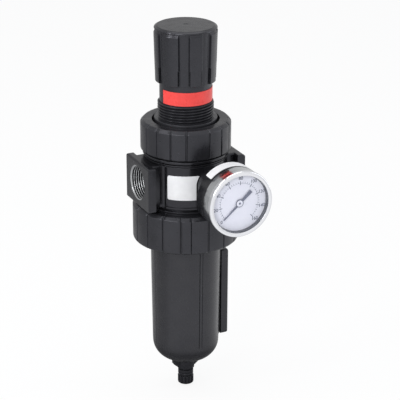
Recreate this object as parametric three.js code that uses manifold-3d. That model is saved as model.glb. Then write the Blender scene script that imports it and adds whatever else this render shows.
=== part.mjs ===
// A combined compressed-air filter and regulator: adjusting knob and spring bonnet on top, ported body with a
// dial gauge in the middle, filter bowl with sight gauge and twist drain below.
// Millimetres. The origin is where the port axis crosses the unit's upright axis: +X runs from the inlet to
// the outlet, -Y is the front with the gauge, +Z is up.
import * as THREE from "three";
import { mergeVertices } from "three/addons/utils/BufferGeometryUtils.js";
import Module from "manifold-3d";

const wasm = await Module();
wasm.setup();

// ---- Driving dimensions -----------------------------------------------------------------------------------

// Clearances and drawing fineness
const slidingGap = 0.3; // round a piece that turns, slides or drops into a bore
const labelGap = 0.1; // under a label
const facets = 40; // sides of a full turn
const boreFacets = 24; // sides of a full turn inside the unit
const smallFacets = 16; // sides of a full turn on small pieces

// Body casting
const portSpan = 81.6; // from port face to port face
const portBoreRadius = 13; // 3/4 inch taper pipe tapping
const portBoreEnd = 20.5; // from the upright axis
const portTaper = 1 / 32; // on the radius
const portChamfer = 0.7;
const portHalfWidth = 21;
const portBlockTop = 17.2;
const portBlockBottom = -18.3;
const portCornerRadius = 1.2;
const portPlateThickness = 6.4;
const portNeckHalfWidth = 14.5; // behind the plates, where the joining clamps take hold
const bodyRadius = 32;
const rimTop = 19.6; // upper edge of the round body
const rimHeight = 2;
const shadowGap = 3.4; // between the body's rim and the bonnet ring
const neckUndercut = 1.6;
const skirtTop = -20.6;
const skirtWall = 3.4;
const skirtLedge = 1.6; // sloping step from the round body out to the skirt
const skirtRoof = -24;
const diaphragmChamberRadius = 26;
const diaphragmChamberDepth = 6;
const valveBoreRadius = 13.5;
const seatWebBottom = -4;
const seatWebTop = 6;
const seatBoreRadius = 8.5;
const outletChamberRadius = 12;
const airwayRadius = 5;
const inletAirwayX = 25.8;
const outletAirwayHeight = 11.4;
const labelPanelFrom = -52; // degrees round from the front, towards the outlet
const labelPanelTo = 0;
const labelPanelTop = 16.4;
const labelPanelBottom = -15.6;
const labelPanelDepth = 0.8;
const nameplateFrom = -51;
const nameplateTo = -5;
const nameplateTop = 10.2;
const nameplateBottom = -9.3;
const nameplateCorner = 1.6;
const nameplateThickness = 0.3;

// Gauge boss on the front and gauge port on the back
const gaugeX = 8.6;
const gaugeZ = 2;
const gaugeBossRadius = 13.5;
const gaugeBossFace = 46;
const gaugeBossChamfer = 1.2;
const gaugePortRadius = 6.6;
const gaugePortDepth = 12;
const rearBossRadius = 9.5;
const rearBossFace = 35;
const rearPlugAcrossFlats = 6;
const rearPlugLength = 9;

// Bonnet ring and bowl ring
const bonnetRingRadius = 34.85;
const bonnetRingHeight = 23.5;
const bonnetRingWall = 2.65;
const bonnetRingLip = 5;
const bonnetRingMouth = 25.9;
const bonnetRingChamfer = 2.4;
const bonnetRingFirstGroove = -23.8;
const bowlRingProud = 0.7; // past the port faces
const bowlRingWall = 4.7;
const bowlRingTop = -20.7;
const bowlRingHeight = 29.8;
const bowlRingLip = 3.5;
const bowlRingChamferDrop = 2.1;
const bowlRingChamferIn = 2.6;
const bowlRingEdgeRound = 2;
const bowlRingFirstGroove = -29.9;
const gripPanelAngles = [30, 20, 20, 20]; // the panels of one quarter of a ring
const gripGrooveWidth = 1.2;
const gripGrooveDepth = 0.9;

// Bonnet
const bonnetFlangeHeight = 6.5;
const bonnetCollarRadius = 24.2;
const bonnetCollarRise = 1.6; // above the bonnet ring
const panelThreadRadius = 21.5;
const panelThreadHeight = 13.9;
const panelThreadChamfer = 1.5; // height of the slope at the thread's top
const neckRadius = 20;
const neckHeight = 34;
const plateChamberRadius = 22.6;
const plateChamberHeight = 6.8;
const springBoreRadius = 16.4;
const springBoreHeight = 45;
const screwWeb = 4.4;
const driveBoreRadius = 14;
const nutKeyWidth = 4;
const nutKeyReach = 1.6;
const bandRise = 0.1; // from the panel thread's top to the red band
const bandHeight = 10.4;
const bandThickness = 0.35;
const bandFrom = -81;
const bandTo = 130;

// Lock splines between neck and knob
const splineCount = 12;
const splineDepth = 0.9;
const splineHeight = 3.6;
const splineFit = 0.26; // share of one spline pitch that a knob tooth fills
const knobTravel = 4.5;

// Knob
const knobTopRadius = 24.35;
const knobBottomRadius = 23.3;
const knobHeight = 42.4;
const knobLift = 15.3; // from the panel thread's top up to the knob's skirt, when unlocked
const knobWall = 2.7;
const knobRoof = 3.6;
const knobEdgeRound = 3;
const fluteCount = 8;
const fluteAngle = 20;
const fluteDepth = 1.3;
const fluteTopLand = 3.8;
const fluteFirst = 17;
const knobSlotWidth = 1.3;
const knobSlotHeight = 12.5;
const knobSlotAngle = 8.3;
const hubRadius = 8.8;
const hubDrop = 22;

// Adjusting screw and what it drives
const screwRadius = 5;
const screwThreadLength = 36;
const thrustCollarRadius = 9;
const thrustCollarHeight = 2.6;
const thrustWasherThickness = 1.6;
const driveAcrossFlats = 12;
const driveHeight = 23;
const clipRadius = 7.6;
const clipThickness = 1.2;
const clipGrooveDepth = 1;
const nutThickness = 4;
const nutRise = 4.2; // from the nut's top up to the thrust collar, at rest
const nutBossRadius = 8.5;
const nutBossDrop = 6;

// Regulating spring and diaphragm
const springRadius = 12;
const springWire = 3;
const springTurns = 5.5;
const diaphragmThickness = 1;
const diaphragmDish = 2.8; // from its clamped rim down to its middle
const diaphragmHole = 4.6;
const plateRadius = 20;
const plateThickness = 2.4;
const spoolRadius = 4.2;
const lowerPlateRadius = 11;
const lowerPlateThickness = 1.8;

// Main valve
const seatFlangeRadius = 11;
const seatFlangeThickness = 2;
const seatOpeningRadius = 6;
const poppetRadius = 7.8;
const poppetThickness = 3.6;
const poppetStemRadius = 2.2;
const poppetTailRadius = 3;
const poppetTailLength = 13;
const valveTravel = 2;
const valveSpringRadius = 5.6;
const valveSpringWire = 1.2;
const valveSpringTurns = 5;

// Guide, deflector, element and baffle
const guideLength = 14;
const guideBoreRadius = 9;
const guideFloor = 3.6;
const guideFlangeRadius = 16;
const guideFlangeThickness = 3;
const guideHoleCount = 6;
const guideHoleRadius = 1.6;
const guideHoleCircle = 6.4;
const tieRodRadius = 3;
const deflectorRadius = 24.3;
const deflectorPlate = 2.5;
const deflectorTubeOuter = 16.4;
const deflectorTubeInner = 11.6;
const deflectorHeight = 15;
const vaneCount = 8;
const vaneFirst = 4;
const vaneThickness = 1.4;
const vaneHeight = 9;
const vaneAngle = 38;
const elementRadius = 17;
const elementBore = 11.6;
const elementHeight = 57;
const baffleRadius = 21;
const baffleThickness = 3;
const baffleSkirt = 8;
const baffleHubRadius = 6.5;
const baffleHubDrop = 9;

// Bowl
const bowlFlangeHeight = 4.4;
const bowlTopRadius = 27.7;
const bowlBottomRadius = 26.5;
const bowlWall = 2.4;
const bowlStraight = 94; // from the ring's lip down to the start of the rounded end
const bowlCornerRadius = 15.5;
const bowlCornerAngle = 66; // of the corner's arc; a shallow dome closes the rest
const bowlEndDepth = 17.5;
const bowlBossRadius = 7.4;
const bowlBossDrop = 1.5;
const bowlBossRise = 1.2; // inside, above the dome
const spigotHeight = 8.4;
const sealSection = 1.3; // radius of an O-ring's section
const bowlRibWidth = 2.5;
const bowlRibRise = 0.45;
const bowlRibAngles = [0, -90];

// Sight gauge
const sightLength = 74.5;
const sightDrop = 16.7; // below the bowl ring
const sightWidth = 13;
const sightOuterX = 34.9;
const sightPadX = 27.6;
const sightPadWidth = 10;
const sightSealThickness = 1;
const sightLensWidth = 6;
const sightLensThickness = 3;
const sightWindowWidth = 4;
const sightWindowLand = 4.05; // between a screw and the window
const sightChannelWidth = 7;
const sightCorner = 2;
const sightScrewInset = 7.5;
const sightScrewRadius = 1.7;
const sightHeadRadius = 2.9;
const sightHeadHeight = 1.6;
const sightScrewBite = 1.2;

// Drain
const drainSealThickness = 0.5;
const drainHubRadius = 7;
const drainWingReach = 11.2;
const drainWingWidth = 4.6;
const drainWingHeight = 6.2;
const drainHubHeight = 7.5;
const drainStemRadius = 6.4;
const drainStemLength = 4;
const drainShankRadius = 4.2;
const drainBoreRadius = 2.7;
const drainNutAcrossFlats = 13;
const drainNutHeight = 3;
const drainKnobLength = 9.3;
const drainKnobChamfer = 0.5;
const drainFluteCount = 14;
const drainFluteRadius = 0.6;
const drainSpindleRadius = 2.3;
const drainSpindleLength = 10;
const drainOutletRadius = 1.3;

// Gauge
const gaugeFront = 78.7; // front plane of the bezel, ahead of the unit's axis
const gaugeDepth = 25;
const gaugeCaseRadius = 24.9;
const gaugeCaseWall = 1;
const gaugeBezelRadius = 26;
const gaugeBezelWidth = 4;
const gaugeBezelDepth = 5.5;
const gaugeBezelFace = 0.9;
const gaugeLensThickness = 1.2;
const gaugeDialInset = 4; // from the bezel's front plane back to the dial
const gaugeDialThickness = 0.8;
const gaugeStemAcrossFlats = 14;
const gaugeStemNeckRadius = 5.6;
const gaugeSocketWidth = 7; // block inside the case that carries the curved tube
const gaugeSocketHeight = 5;
const pointerLength = 17.5;
const pointerTail = 10;
const pointerZero = 222; // degrees from the outlet side, counted up over the top
const pointerThickness = 0.5;
const pointerHubRadius = 1.9;
const pointerHubRise = 0.3;
const pointerShaftRadius = 0.7;
const stickerWidth = 10;
const stickerThickness = 0.25;
const stickerFrom = 45;
const stickerTo = 135;
const bourdonRadius = 15;
const bourdonWidth = 4.4;
const bourdonThickness = 2;
const movementRadius = 9;
const movementThickness = 4;

// ---- Heights that follow from them ------------------------------------------------------------------------

const ringFloor = rimTop + shadowGap;
const ringTop = ringFloor + bonnetRingHeight;
const ringBore = bonnetRingRadius - bonnetRingWall;
const flangeTop = ringTop - bonnetRingLip - slidingGap;
const flangeFloor = flangeTop - bonnetFlangeHeight;
const neckTop = flangeFloor - diaphragmThickness;
const neckTopRadius = ringBore - slidingGap;
const collarTop = ringTop + bonnetCollarRise;
const threadTop = collarTop + panelThreadHeight;
const bonnetTop = threadTop + neckHeight;
const webFloor = flangeFloor + springBoreHeight;
const webTop = webFloor + screwWeb;
const knobFloor = threadTop + knobLift;
const knobTop = knobFloor + knobHeight;
const knobBore = knobBottomRadius - knobWall;
const knobCeiling = knobTop - knobRoof;
const collarFloor = webFloor - thrustWasherThickness - thrustCollarHeight;
const nutTop = collarFloor - nutRise;
const nutFloor = nutTop - nutThickness;
const diaphragmMiddle = flangeFloor - diaphragmDish; // upper side of its middle
const plateFloor = diaphragmMiddle + slidingGap;
const plateTop = plateFloor + plateThickness;
const chamberFloor = neckTop - diaphragmChamberDepth;
const lowerPlateTop = diaphragmMiddle - diaphragmThickness - slidingGap;
const lowerPlateFloor = lowerPlateTop - lowerPlateThickness;
const poppetTop = seatWebBottom - slidingGap;
const poppetFloor = poppetTop - poppetThickness;
const guideFlangeFloor = skirtRoof - guideFlangeThickness;
const guideTop = skirtRoof + guideLength;
const guideInnerFloor = skirtRoof + guideFloor;
const deflectorFloor = guideFlangeFloor - deflectorHeight;
const elementFloor = deflectorFloor - elementHeight;
const baffleFloor = elementFloor - baffleThickness;
const bowlRingRadius = portSpan / 2 + bowlRingProud;
const bowlRingBore = bowlRingRadius - bowlRingWall;
const bowlRingFloor = bowlRingTop - bowlRingHeight;
const lipTop = bowlRingFloor + bowlRingLip;
const lipMouth = bowlTopRadius + 0.7;
const bowlFlangeTop = lipTop + bowlFlangeHeight;
const skirtFloor = bowlFlangeTop + slidingGap;
const skirtOuterRadius = bowlRingBore - slidingGap; // male thread under the bowl ring
const skirtBore = skirtOuterRadius - skirtWall;
const bowlFlangeRadius = bowlRingBore - slidingGap;
const spigotTop = bowlFlangeTop + spigotHeight;
const spigotRadius = skirtBore - slidingGap;
const bowlRoundStart = lipTop - bowlStraight;
const bowlBottom = bowlRoundStart - bowlEndDepth;
const bowlBossFloor = bowlBottom - bowlBossDrop;
const bowlInnerFloor = bowlBottom + bowlWall + bowlBossRise;
const drainTop = bowlBossFloor - drainSealThickness;
const drainHubFloor = drainTop - drainHubHeight;
const drainStemFloor = drainHubFloor - drainStemLength;
const drainKnobTop = drainStemFloor - slidingGap;
const drainKnobFloor = drainKnobTop - drainKnobLength;
const gaugeBack = gaugeFront - gaugeDepth;
const dialFront = gaugeFront - gaugeDialInset;
const dialBack = dialFront - gaugeDialThickness;

// ---- Shaping ----------------------------------------------------------------------------------------------

const degrees = (angle) => THREE.MathUtils.degToRad(angle);

// A closed geometry as a solid that can be joined and cut.
function solid(geometry) {
  const bare = geometry.clone();
  bare.deleteAttribute("normal");
  bare.deleteAttribute("uv");
  const merged = mergeVertices(bare, 1e-4);
  const corners = merged.index.array;
  const kept = [];
  for (let i = 0; i < corners.length; i += 3) {
    const [a, b, c] = corners.slice(i, i + 3);
    if (a !== b && b !== c && c !== a) kept.push(a, b, c);
  }
  return new wasm.Manifold(
    new wasm.Mesh({
      numProp: 3,
      vertProperties: new Float32Array(merged.attributes.position.array),
      triVerts: new Uint32Array(kept),
    }),
  );
}

// The geometry of a solid.
function shapeOf(made) {
  const mesh = made.getMesh();
  const geometry = new THREE.BufferGeometry();
  geometry.setAttribute("position", new THREE.BufferAttribute(mesh.vertProperties, 3));
  geometry.setIndex(new THREE.BufferAttribute(mesh.triVerts, 1));
  return geometry;
}

const join = (first, ...others) =>
  shapeOf(others.reduce((sum, other) => sum.add(solid(other)), solid(first)));
const cut = (first, ...tools) =>
  shapeOf(tools.reduce((rest, tool) => rest.subtract(solid(tool)), solid(first)));
const common = (first, second) => shapeOf(solid(first).intersect(solid(second)));

// A closed outline of [radius, height] points, turned about the Z axis.
function turned(outline, sides = facets) {
  const points = outline.map(([radius, height]) => new THREE.Vector2(radius, height));
  if (THREE.ShapeUtils.area(points) < 0) points.reverse();
  points.push(points[0].clone());
  return new THREE.LatheGeometry(points, sides).rotateX(Math.PI / 2);
}

const rod = (radius, from, to, sides = smallFacets) =>
  turned([[0, from], [radius, from], [radius, to], [0, to]], sides);

const tube = (inner, outer, from, to, sides = facets) =>
  turned([[inner, from], [outer, from], [outer, to], [inner, to]], sides);

const block = (x0, x1, y0, y1, z0, z1) =>
  new THREE.BoxGeometry(x1 - x0, y1 - y0, z1 - z0).translate((x0 + x1) / 2, (y0 + y1) / 2, (z0 + z1) / 2);

// A flat outline raised from one height to another.
function raised(shape, from, to, curveSegments = 6) {
  const options = { depth: to - from, bevelEnabled: false, curveSegments };
  return new THREE.ExtrudeGeometry(shape, options).translate(0, 0, from);
}

// A regular hexagon across its flats.
function hexagon(acrossFlats) {
  const corner = acrossFlats / Math.sqrt(3);
  const points = [0, 1, 2, 3, 4, 5].map(
    (side) => new THREE.Vector2(corner * Math.cos(degrees(60 * side)), corner * Math.sin(degrees(60 * side))),
  );
  return new THREE.Shape(points);
}

// A rectangle with rounded corners, centred on x and y.
function roundedRectangle(width, height, radius, x = 0, y = 0) {
  const shape = new THREE.Shape();
  const right = x + width / 2 - radius;
  const left = x - width / 2 + radius;
  const upper = y + height / 2 - radius;
  const lower = y - height / 2 + radius;
  shape.absarc(right, lower, radius, -Math.PI / 2, 0);
  shape.absarc(right, upper, radius, 0, Math.PI / 2);
  shape.absarc(left, upper, radius, Math.PI / 2, Math.PI);
  shape.absarc(left, lower, radius, Math.PI, 1.5 * Math.PI);
  return shape;
}

// A sector of a ring; angles run from the front (-Y) towards the outlet (+X).
function sector(inner, outer, fromAngle, toAngle, from, to, steps = 8) {
  const start = degrees(fromAngle - 90);
  const end = degrees(toAngle - 90);
  const shape = new THREE.Shape();
  shape.absarc(0, 0, outer, start, end, false);
  shape.absarc(0, 0, inner, end, start, true);
  return raised(shape, from, to, steps);
}

// Copies of a tool, turned about the Z axis to each angle.
const atAngles = (tool, angles) => angles.map((angle) => tool.clone().rotateZ(degrees(angle)));
const evenly = (count, first = 0) => Array.from({ length: count }, (_, step) => first + (step * 360) / count);

// Points of an arc for an outline, from one angle to another in degrees.
function arc(x, y, radius, fromAngle, toAngle, steps) {
  return Array.from({ length: steps + 1 }, (_, step) => {
    const angle = degrees(fromAngle + ((toAngle - fromAngle) * step) / steps);
    return [x + radius * Math.cos(angle), y + radius * Math.sin(angle)];
  });
}

const oRing = (radius, section, height, sides) => turned(arc(radius, height, section, 0, 300, 5), sides);

// A helical spring as one unbroken tube about the Z axis: its wire ends lie inside the two heights.
function coilSpring(radius, wire, turns, from, to) {
  const stepsPerTurn = 8;
  const sides = 5;
  const steps = Math.round(turns * stepsPerTurn);
  const wireRadius = wire / 2;
  const low = from + wireRadius;
  const high = to - wireRadius;
  const centre = (step) => {
    const angle = (step / stepsPerTurn) * 2 * Math.PI;
    return { angle, height: low + ((high - low) * step) / steps };
  };
  const position = [];
  for (let step = 0; step <= steps; step += 1) {
    const { angle, height } = centre(step);
    for (let side = 0; side < sides; side += 1) {
      const around = (side / sides) * 2 * Math.PI;
      const reach = radius + wireRadius * Math.cos(around);
      position.push(reach * Math.cos(angle), reach * Math.sin(angle), height + wireRadius * Math.sin(around));
    }
  }
  const index = [];
  for (let step = 0; step < steps; step += 1) {
    for (let side = 0; side < sides; side += 1) {
      const a = step * sides + side;
      const b = step * sides + ((side + 1) % sides);
      index.push(a, a + sides, b, b, a + sides, b + sides);
    }
  }
  const last = steps * sides;
  for (let side = 1; side < sides - 1; side += 1) {
    index.push(0, side, side + 1);
    index.push(last, last + side + 1, last + side);
  }
  const geometry = new THREE.BufferGeometry();
  geometry.setAttribute("position", new THREE.Float32BufferAttribute(position, 3));
  geometry.setIndex(index);
  return geometry;
}

// The least gap between neighbouring turns of a coil spring, measured on the points of its wire's section.
function springGap(name, geometry, turns) {
  const stepsPerTurn = 8;
  const sides = 5;
  const point = geometry.getAttribute("position");
  const steps = Math.round(turns * stepsPerTurn);
  let least = Infinity;
  for (let step = 0; step + stepsPerTurn <= steps; step += 1) {
    for (let side = 0; side < sides; side += 1) {
      for (let other = 0; other < sides; other += 1) {
        const a = new THREE.Vector3().fromBufferAttribute(point, step * sides + side);
        const b = new THREE.Vector3().fromBufferAttribute(point, (step + stepsPerTurn) * sides + other);
        least = Math.min(least, a.distanceTo(b));
      }
    }
  }
  console.log(`${name}: least gap between turns ${least.toFixed(2)} mm`);
}

// ---- Materials --------------------------------------------------------------------------------------------

const finish = (color, roughness, metalness = 0) =>
  new THREE.MeshStandardMaterial({ color, roughness, metalness, flatShading: true });

const blackPaint = () => finish("#45454a", 0.55);
const blackPlastic = () => finish("#3c3c40", 0.5);
const redVinyl = () => finish("#ee5a54", 0.45);
const whiteVinyl = () => finish("#f0f0f2", 0.5);
const chrome = () => finish("#d9dadc", 0.15, 1);
const steel = () => finish("#a8a9ac", 0.35, 1);
const brass = () => finish("#b79a5a", 0.35, 1);
const rubber = () => finish("#1f1f21", 0.8);
const clearPlastic = () => finish("#e6eef2", 0.1);
const sinteredPlastic = () => finish("#dfe2e2", 0.9);
const nylon = () => finish("#d8d3c6", 0.6);

const regulator = new THREE.Group();

function add(name, geometry, material, parent = regulator) {
  const mesh = new THREE.Mesh(geometry, material);
  mesh.name = name;
  parent.add(mesh);
  return mesh;
}

// ---- Body -------------------------------------------------------------------------------------------------

// One end of the body: a neck, and the plate of the port face with rounded upright corners.
function portBlock(side) {
  const face = portSpan / 2;
  const middle = side * (face - portPlateThickness / 2);
  const plate = roundedRectangle(portPlateThickness, portHalfWidth * 2, portCornerRadius, middle);
  const neck = block(
    Math.min(0, middle), Math.max(0, middle), -portNeckHalfWidth, portNeckHalfWidth,
    portBlockBottom, portBlockTop,
  );
  return join(neck, raised(plate, portBlockBottom, portBlockTop, 3));
}

// A tapped port: chamfered mouth and bore, along X.
function portBore(side) {
  const mouth = portSpan / 2;
  const outline = [
    [0, portBoreEnd],
    [portBoreRadius - portTaper * (mouth - portBoreEnd), portBoreEnd],
    [portBoreRadius, mouth - portChamfer],
    [portBoreRadius + portChamfer, mouth],
    [portBoreRadius + portChamfer, mouth + 1],
    [0, mouth + 1],
  ];
  return turned(outline, boreFacets).rotateY((side * Math.PI) / 2);
}

// The gauge boss, round above and straight-sided below, grown all round by a clearance.
function gaugeBoss(clearance = 0) {
  const radius = gaugeBossRadius + clearance;
  const outline = new THREE.Shape();
  outline.moveTo(-radius, portBlockBottom - gaugeZ);
  outline.lineTo(radius, portBlockBottom - gaugeZ);
  outline.absarc(0, 0, radius, 0, Math.PI);
  const options = {
    depth: gaugeBossFace - 2 * gaugeBossChamfer,
    curveSegments: 12,
    bevelSegments: 1,
    bevelThickness: gaugeBossChamfer,
    bevelSize: gaugeBossChamfer,
    bevelOffset: -gaugeBossChamfer,
  };
  return new THREE.ExtrudeGeometry(outline, options)
    .translate(0, 0, gaugeBossChamfer)
    .rotateX(Math.PI / 2)
    .translate(gaugeX, 0, gaugeZ);
}

function makeBody() {
  const ledgeFloor = skirtTop;
  const ledgeTop = skirtTop + skirtLedge;
  const round = turned([
    [0, skirtFloor],
    [skirtOuterRadius, skirtFloor],
    [skirtOuterRadius, ledgeFloor],
    [bodyRadius + 1, ledgeTop],
    [bodyRadius, ledgeTop],
    [bodyRadius, rimTop],
    [neckTopRadius - neckUndercut, rimTop],
    [neckTopRadius - neckUndercut, ringFloor - slidingGap],
    [neckTopRadius, ringFloor - slidingGap],
    [neckTopRadius, neckTop],
    [0, neckTop],
  ]);
  const panel = sector(
    bodyRadius - labelPanelDepth, bodyRadius + labelPanelDepth, labelPanelFrom, labelPanelTo,
    labelPanelBottom, labelPanelTop,
  );
  const rearBoss = rod(rearBossRadius, 0, rearBossFace).rotateX(-Math.PI / 2).translate(0, 0, gaugeZ);
  const outside = join(cut(join(round, portBlock(1), portBlock(-1)), panel), gaugeBoss(), rearBoss);

  const gaugePort = rod(gaugePortRadius, gaugeBossFace - gaugePortDepth, gaugeBossFace + 1)
    .rotateX(Math.PI / 2).translate(gaugeX, 0, gaugeZ);
  const rearPort = rod(gaugePortRadius, rearBossFace - gaugePortDepth, rearBossFace + 1)
    .rotateX(-Math.PI / 2).translate(0, 0, gaugeZ);
  const skirt = rod(skirtBore, skirtFloor - 1, skirtRoof, facets);
  const valveBore = rod(valveBoreRadius, skirtFloor - 1, seatWebBottom);
  const seatBore = rod(seatBoreRadius, seatWebBottom - 1, seatWebTop + 1);
  const outletChamber = rod(outletChamberRadius, seatWebTop, neckTop + 1);
  const diaphragmChamber = rod(diaphragmChamberRadius, chamberFloor, neckTop + 1, boreFacets);
  const inletAirway = rod(airwayRadius, skirtRoof - 1, 0, 12).translate(-inletAirwayX, 0, 0);
  const outletAirway = rod(airwayRadius, outletChamberRadius - 1, portBoreEnd + 1, 12)
    .rotateY(Math.PI / 2).translate(0, 0, outletAirwayHeight);
  return cut(
    outside, portBore(1), portBore(-1), gaugePort, rearPort, skirt, valveBore, seatBore, outletChamber,
    diaphragmChamber, inletAirway, outletAirway,
  );
}

add("body", makeBody(), blackPaint());

// The white label: a curved sheet with rounded corners, seated in the recessed panel.
function makeNameplate() {
  const inner = bodyRadius - labelPanelDepth + labelGap;
  const outer = inner + nameplateThickness;
  const middle = (nameplateFrom + nameplateTo) / 2;
  const width = 2 * inner * Math.sin(degrees((nameplateTo - nameplateFrom) / 2));
  const outline = roundedRectangle(width, nameplateTop - nameplateBottom, nameplateCorner);
  const flat = raised(outline, 0, 2 * outer, 4)
    .rotateX(Math.PI / 2)
    .translate(0, 0, (nameplateTop + nameplateBottom) / 2)
    .rotateZ(degrees(middle));
  const sheet = common(tube(inner, outer, nameplateBottom - 1, nameplateTop + 1), flat);
  return cut(sheet, gaugeBoss(2 * slidingGap));
}

add("nameplate", makeNameplate(), whiteVinyl());

// Hexagon-socket plug in the rear gauge port.
function makeRearPlug() {
  const radius = gaugePortRadius - slidingGap;
  const shank = rod(radius, rearBossFace - rearPlugLength, rearBossFace + 0.6);
  const socket = raised(hexagon(rearPlugAcrossFlats), rearBossFace - rearPlugLength / 2, rearBossFace + 2);
  return cut(shank, socket).rotateX(-Math.PI / 2).translate(0, 0, gaugeZ);
}

add("rear_plug", makeRearPlug(), steel());

// ---- Clamp rings ------------------------------------------------------------------------------------------

// The angles of the grip grooves round a clamp ring.
function gripAngles(first) {
  const angles = [];
  for (let quarter = 0; quarter < 4; quarter += 1) {
    let angle = first + 90 * quarter;
    for (const panel of gripPanelAngles) {
      angles.push(angle);
      angle += panel;
    }
  }
  return angles;
}

function gripped(ring, radius, from, to, first) {
  const groove = block(
    -gripGrooveWidth / 2, gripGrooveWidth / 2, -radius - 2, -radius + gripGrooveDepth, from - 1, to + 1,
  );
  return cut(ring, ...atAngles(groove, gripAngles(first)));
}

function makeBonnetRing() {
  const ring = turned([
    [ringBore, ringFloor],
    [bonnetRingRadius, ringFloor],
    [bonnetRingRadius, ringTop - bonnetRingChamfer],
    [bonnetRingRadius - bonnetRingChamfer / 2, ringTop - bonnetRingChamfer / 4],
    [bonnetRingRadius - bonnetRingChamfer, ringTop],
    [bonnetRingMouth, ringTop],
    [bonnetRingMouth, ringTop - bonnetRingLip],
    [ringBore, ringTop - bonnetRingLip],
  ]);
  return gripped(ring, bonnetRingRadius, ringFloor, ringTop, bonnetRingFirstGroove);
}

function makeBowlRing() {
  const round = arc(
    bowlRingRadius - bowlRingEdgeRound, bowlRingFloor + bowlRingEdgeRound, bowlRingEdgeRound, -90, 0, 3,
  );
  const ring = turned([
    [lipMouth, bowlRingFloor],
    ...round,
    [bowlRingRadius, bowlRingTop - bowlRingChamferDrop],
    [bowlRingRadius - bowlRingChamferIn, bowlRingTop],
    [bowlRingBore, bowlRingTop],
    [bowlRingBore, lipTop],
    [lipMouth, lipTop],
  ]);
  return gripped(ring, bowlRingRadius, bowlRingFloor, bowlRingTop, bowlRingFirstGroove);
}

add("bonnet_ring", makeBonnetRing(), blackPlastic());
add("bowl_ring", makeBowlRing(), blackPlastic());

// ---- Bonnet -----------------------------------------------------------------------------------------------

const splinePitch = 360 / splineCount;

function makeBonnet() {
  const shell = turned([
    [plateChamberRadius, flangeFloor],
    [neckTopRadius, flangeFloor],
    [neckTopRadius, flangeTop],
    [bonnetCollarRadius, flangeTop],
    [bonnetCollarRadius, collarTop],
    [panelThreadRadius, collarTop],
    [panelThreadRadius, threadTop - panelThreadChamfer],
    [neckRadius, threadTop],
    [neckRadius, bonnetTop],
    [driveBoreRadius, bonnetTop],
    [driveBoreRadius, webTop],
    [screwRadius + slidingGap, webTop],
    [screwRadius + slidingGap, webFloor],
    [springBoreRadius, webFloor],
    [springBoreRadius, flangeFloor + plateChamberHeight],
    [plateChamberRadius, flangeFloor + plateChamberHeight],
  ]);
  const keyway = block(
    -nutKeyWidth / 2 - slidingGap, nutKeyWidth / 2 + slidingGap,
    -springBoreRadius - nutKeyReach - slidingGap, springBoreRadius + nutKeyReach + slidingGap,
    flangeFloor + plateChamberHeight - 1, webFloor,
  );
  const toothSlot = sector(
    neckRadius - splineDepth, neckRadius + 1, -splinePitch / 4, splinePitch / 4,
    bonnetTop - knobTravel, bonnetTop + 1, 1,
  );
  return cut(shell, keyway, ...atAngles(toothSlot, evenly(splineCount)));
}

function makeBand() {
  const from = threadTop + bandRise;
  const inner = neckRadius + labelGap;
  const sheet = tube(inner, inner + bandThickness, from, from + bandHeight);
  const missing = sector(0, 2 * inner, bandTo, bandFrom + 360, from - 1, from + bandHeight + 1, 4);
  return cut(sheet, missing);
}

add("bonnet", makeBonnet(), blackPlastic());
add("neck_band", makeBand(), redVinyl());

// ---- Knob -------------------------------------------------------------------------------------------------

// Scales a knob tool with height, so that it follows the knob's taper.
function tapered(geometry) {
  const position = geometry.getAttribute("position");
  for (let i = 0; i < position.count; i += 1) {
    const share = (position.getZ(i) - knobFloor) / knobHeight;
    const scale = 1 + (share - 1) * (1 - knobBottomRadius / knobTopRadius);
    position.setXY(i, position.getX(i) * scale, position.getY(i) * scale);
  }
  return geometry;
}

function makeKnob() {
  const rounding = arc(knobTopRadius - knobEdgeRound, knobTop - knobEdgeRound, knobEdgeRound, 0, 90, 3);
  const cup = turned([
    [knobBore, knobFloor],
    [knobBottomRadius, knobFloor],
    ...rounding,
    [0, knobTop],
    [0, knobCeiling],
    [knobBore, knobCeiling],
  ]);
  const flute = tapered(sector(
    knobTopRadius - fluteDepth, knobTopRadius + 4, fluteFirst - fluteAngle / 2, fluteFirst + fluteAngle / 2,
    knobFloor - 1, knobTop - fluteTopLand, 4,
  ));
  const slot = block(
    -knobSlotWidth / 2, knobSlotWidth / 2, -knobTopRadius - 1, -knobBore + 1,
    knobFloor - 1, knobFloor + knobSlotHeight,
  );
  const fluteAngles = evenly(fluteCount, fluteFirst);
  const slotAngles = fluteAngles.flatMap((angle) => [angle - knobSlotAngle, angle + knobSlotAngle]);
  const toothFloor = bonnetTop + slidingGap;
  const tooth = sector(
    neckRadius - splineDepth + slidingGap, knobBore + 0.6,
    (-splinePitch * splineFit) / 2, (splinePitch * splineFit) / 2,
    toothFloor, toothFloor + splineHeight, 1,
  );
  const hub = rod(hubRadius, knobCeiling - hubDrop, knobCeiling + 1);
  const socket = raised(hexagon(driveAcrossFlats + 2 * slidingGap), knobCeiling - hubDrop - 1, knobCeiling);
  const fluted = cut(cup, ...atAngles(flute, evenly(fluteCount)));
  const body = join(fluted, hub, ...atAngles(tooth, evenly(splineCount)));
  return cut(body, socket, ...atAngles(slot, slotAngles));
}

add("knob", makeKnob(), blackPlastic());

// ---- Adjusting screw, clip, washer and nut ----------------------------------------------------------------

const clipFloor = webTop + slidingGap;
const driveFloor = clipFloor + clipThickness + 1;

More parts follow.
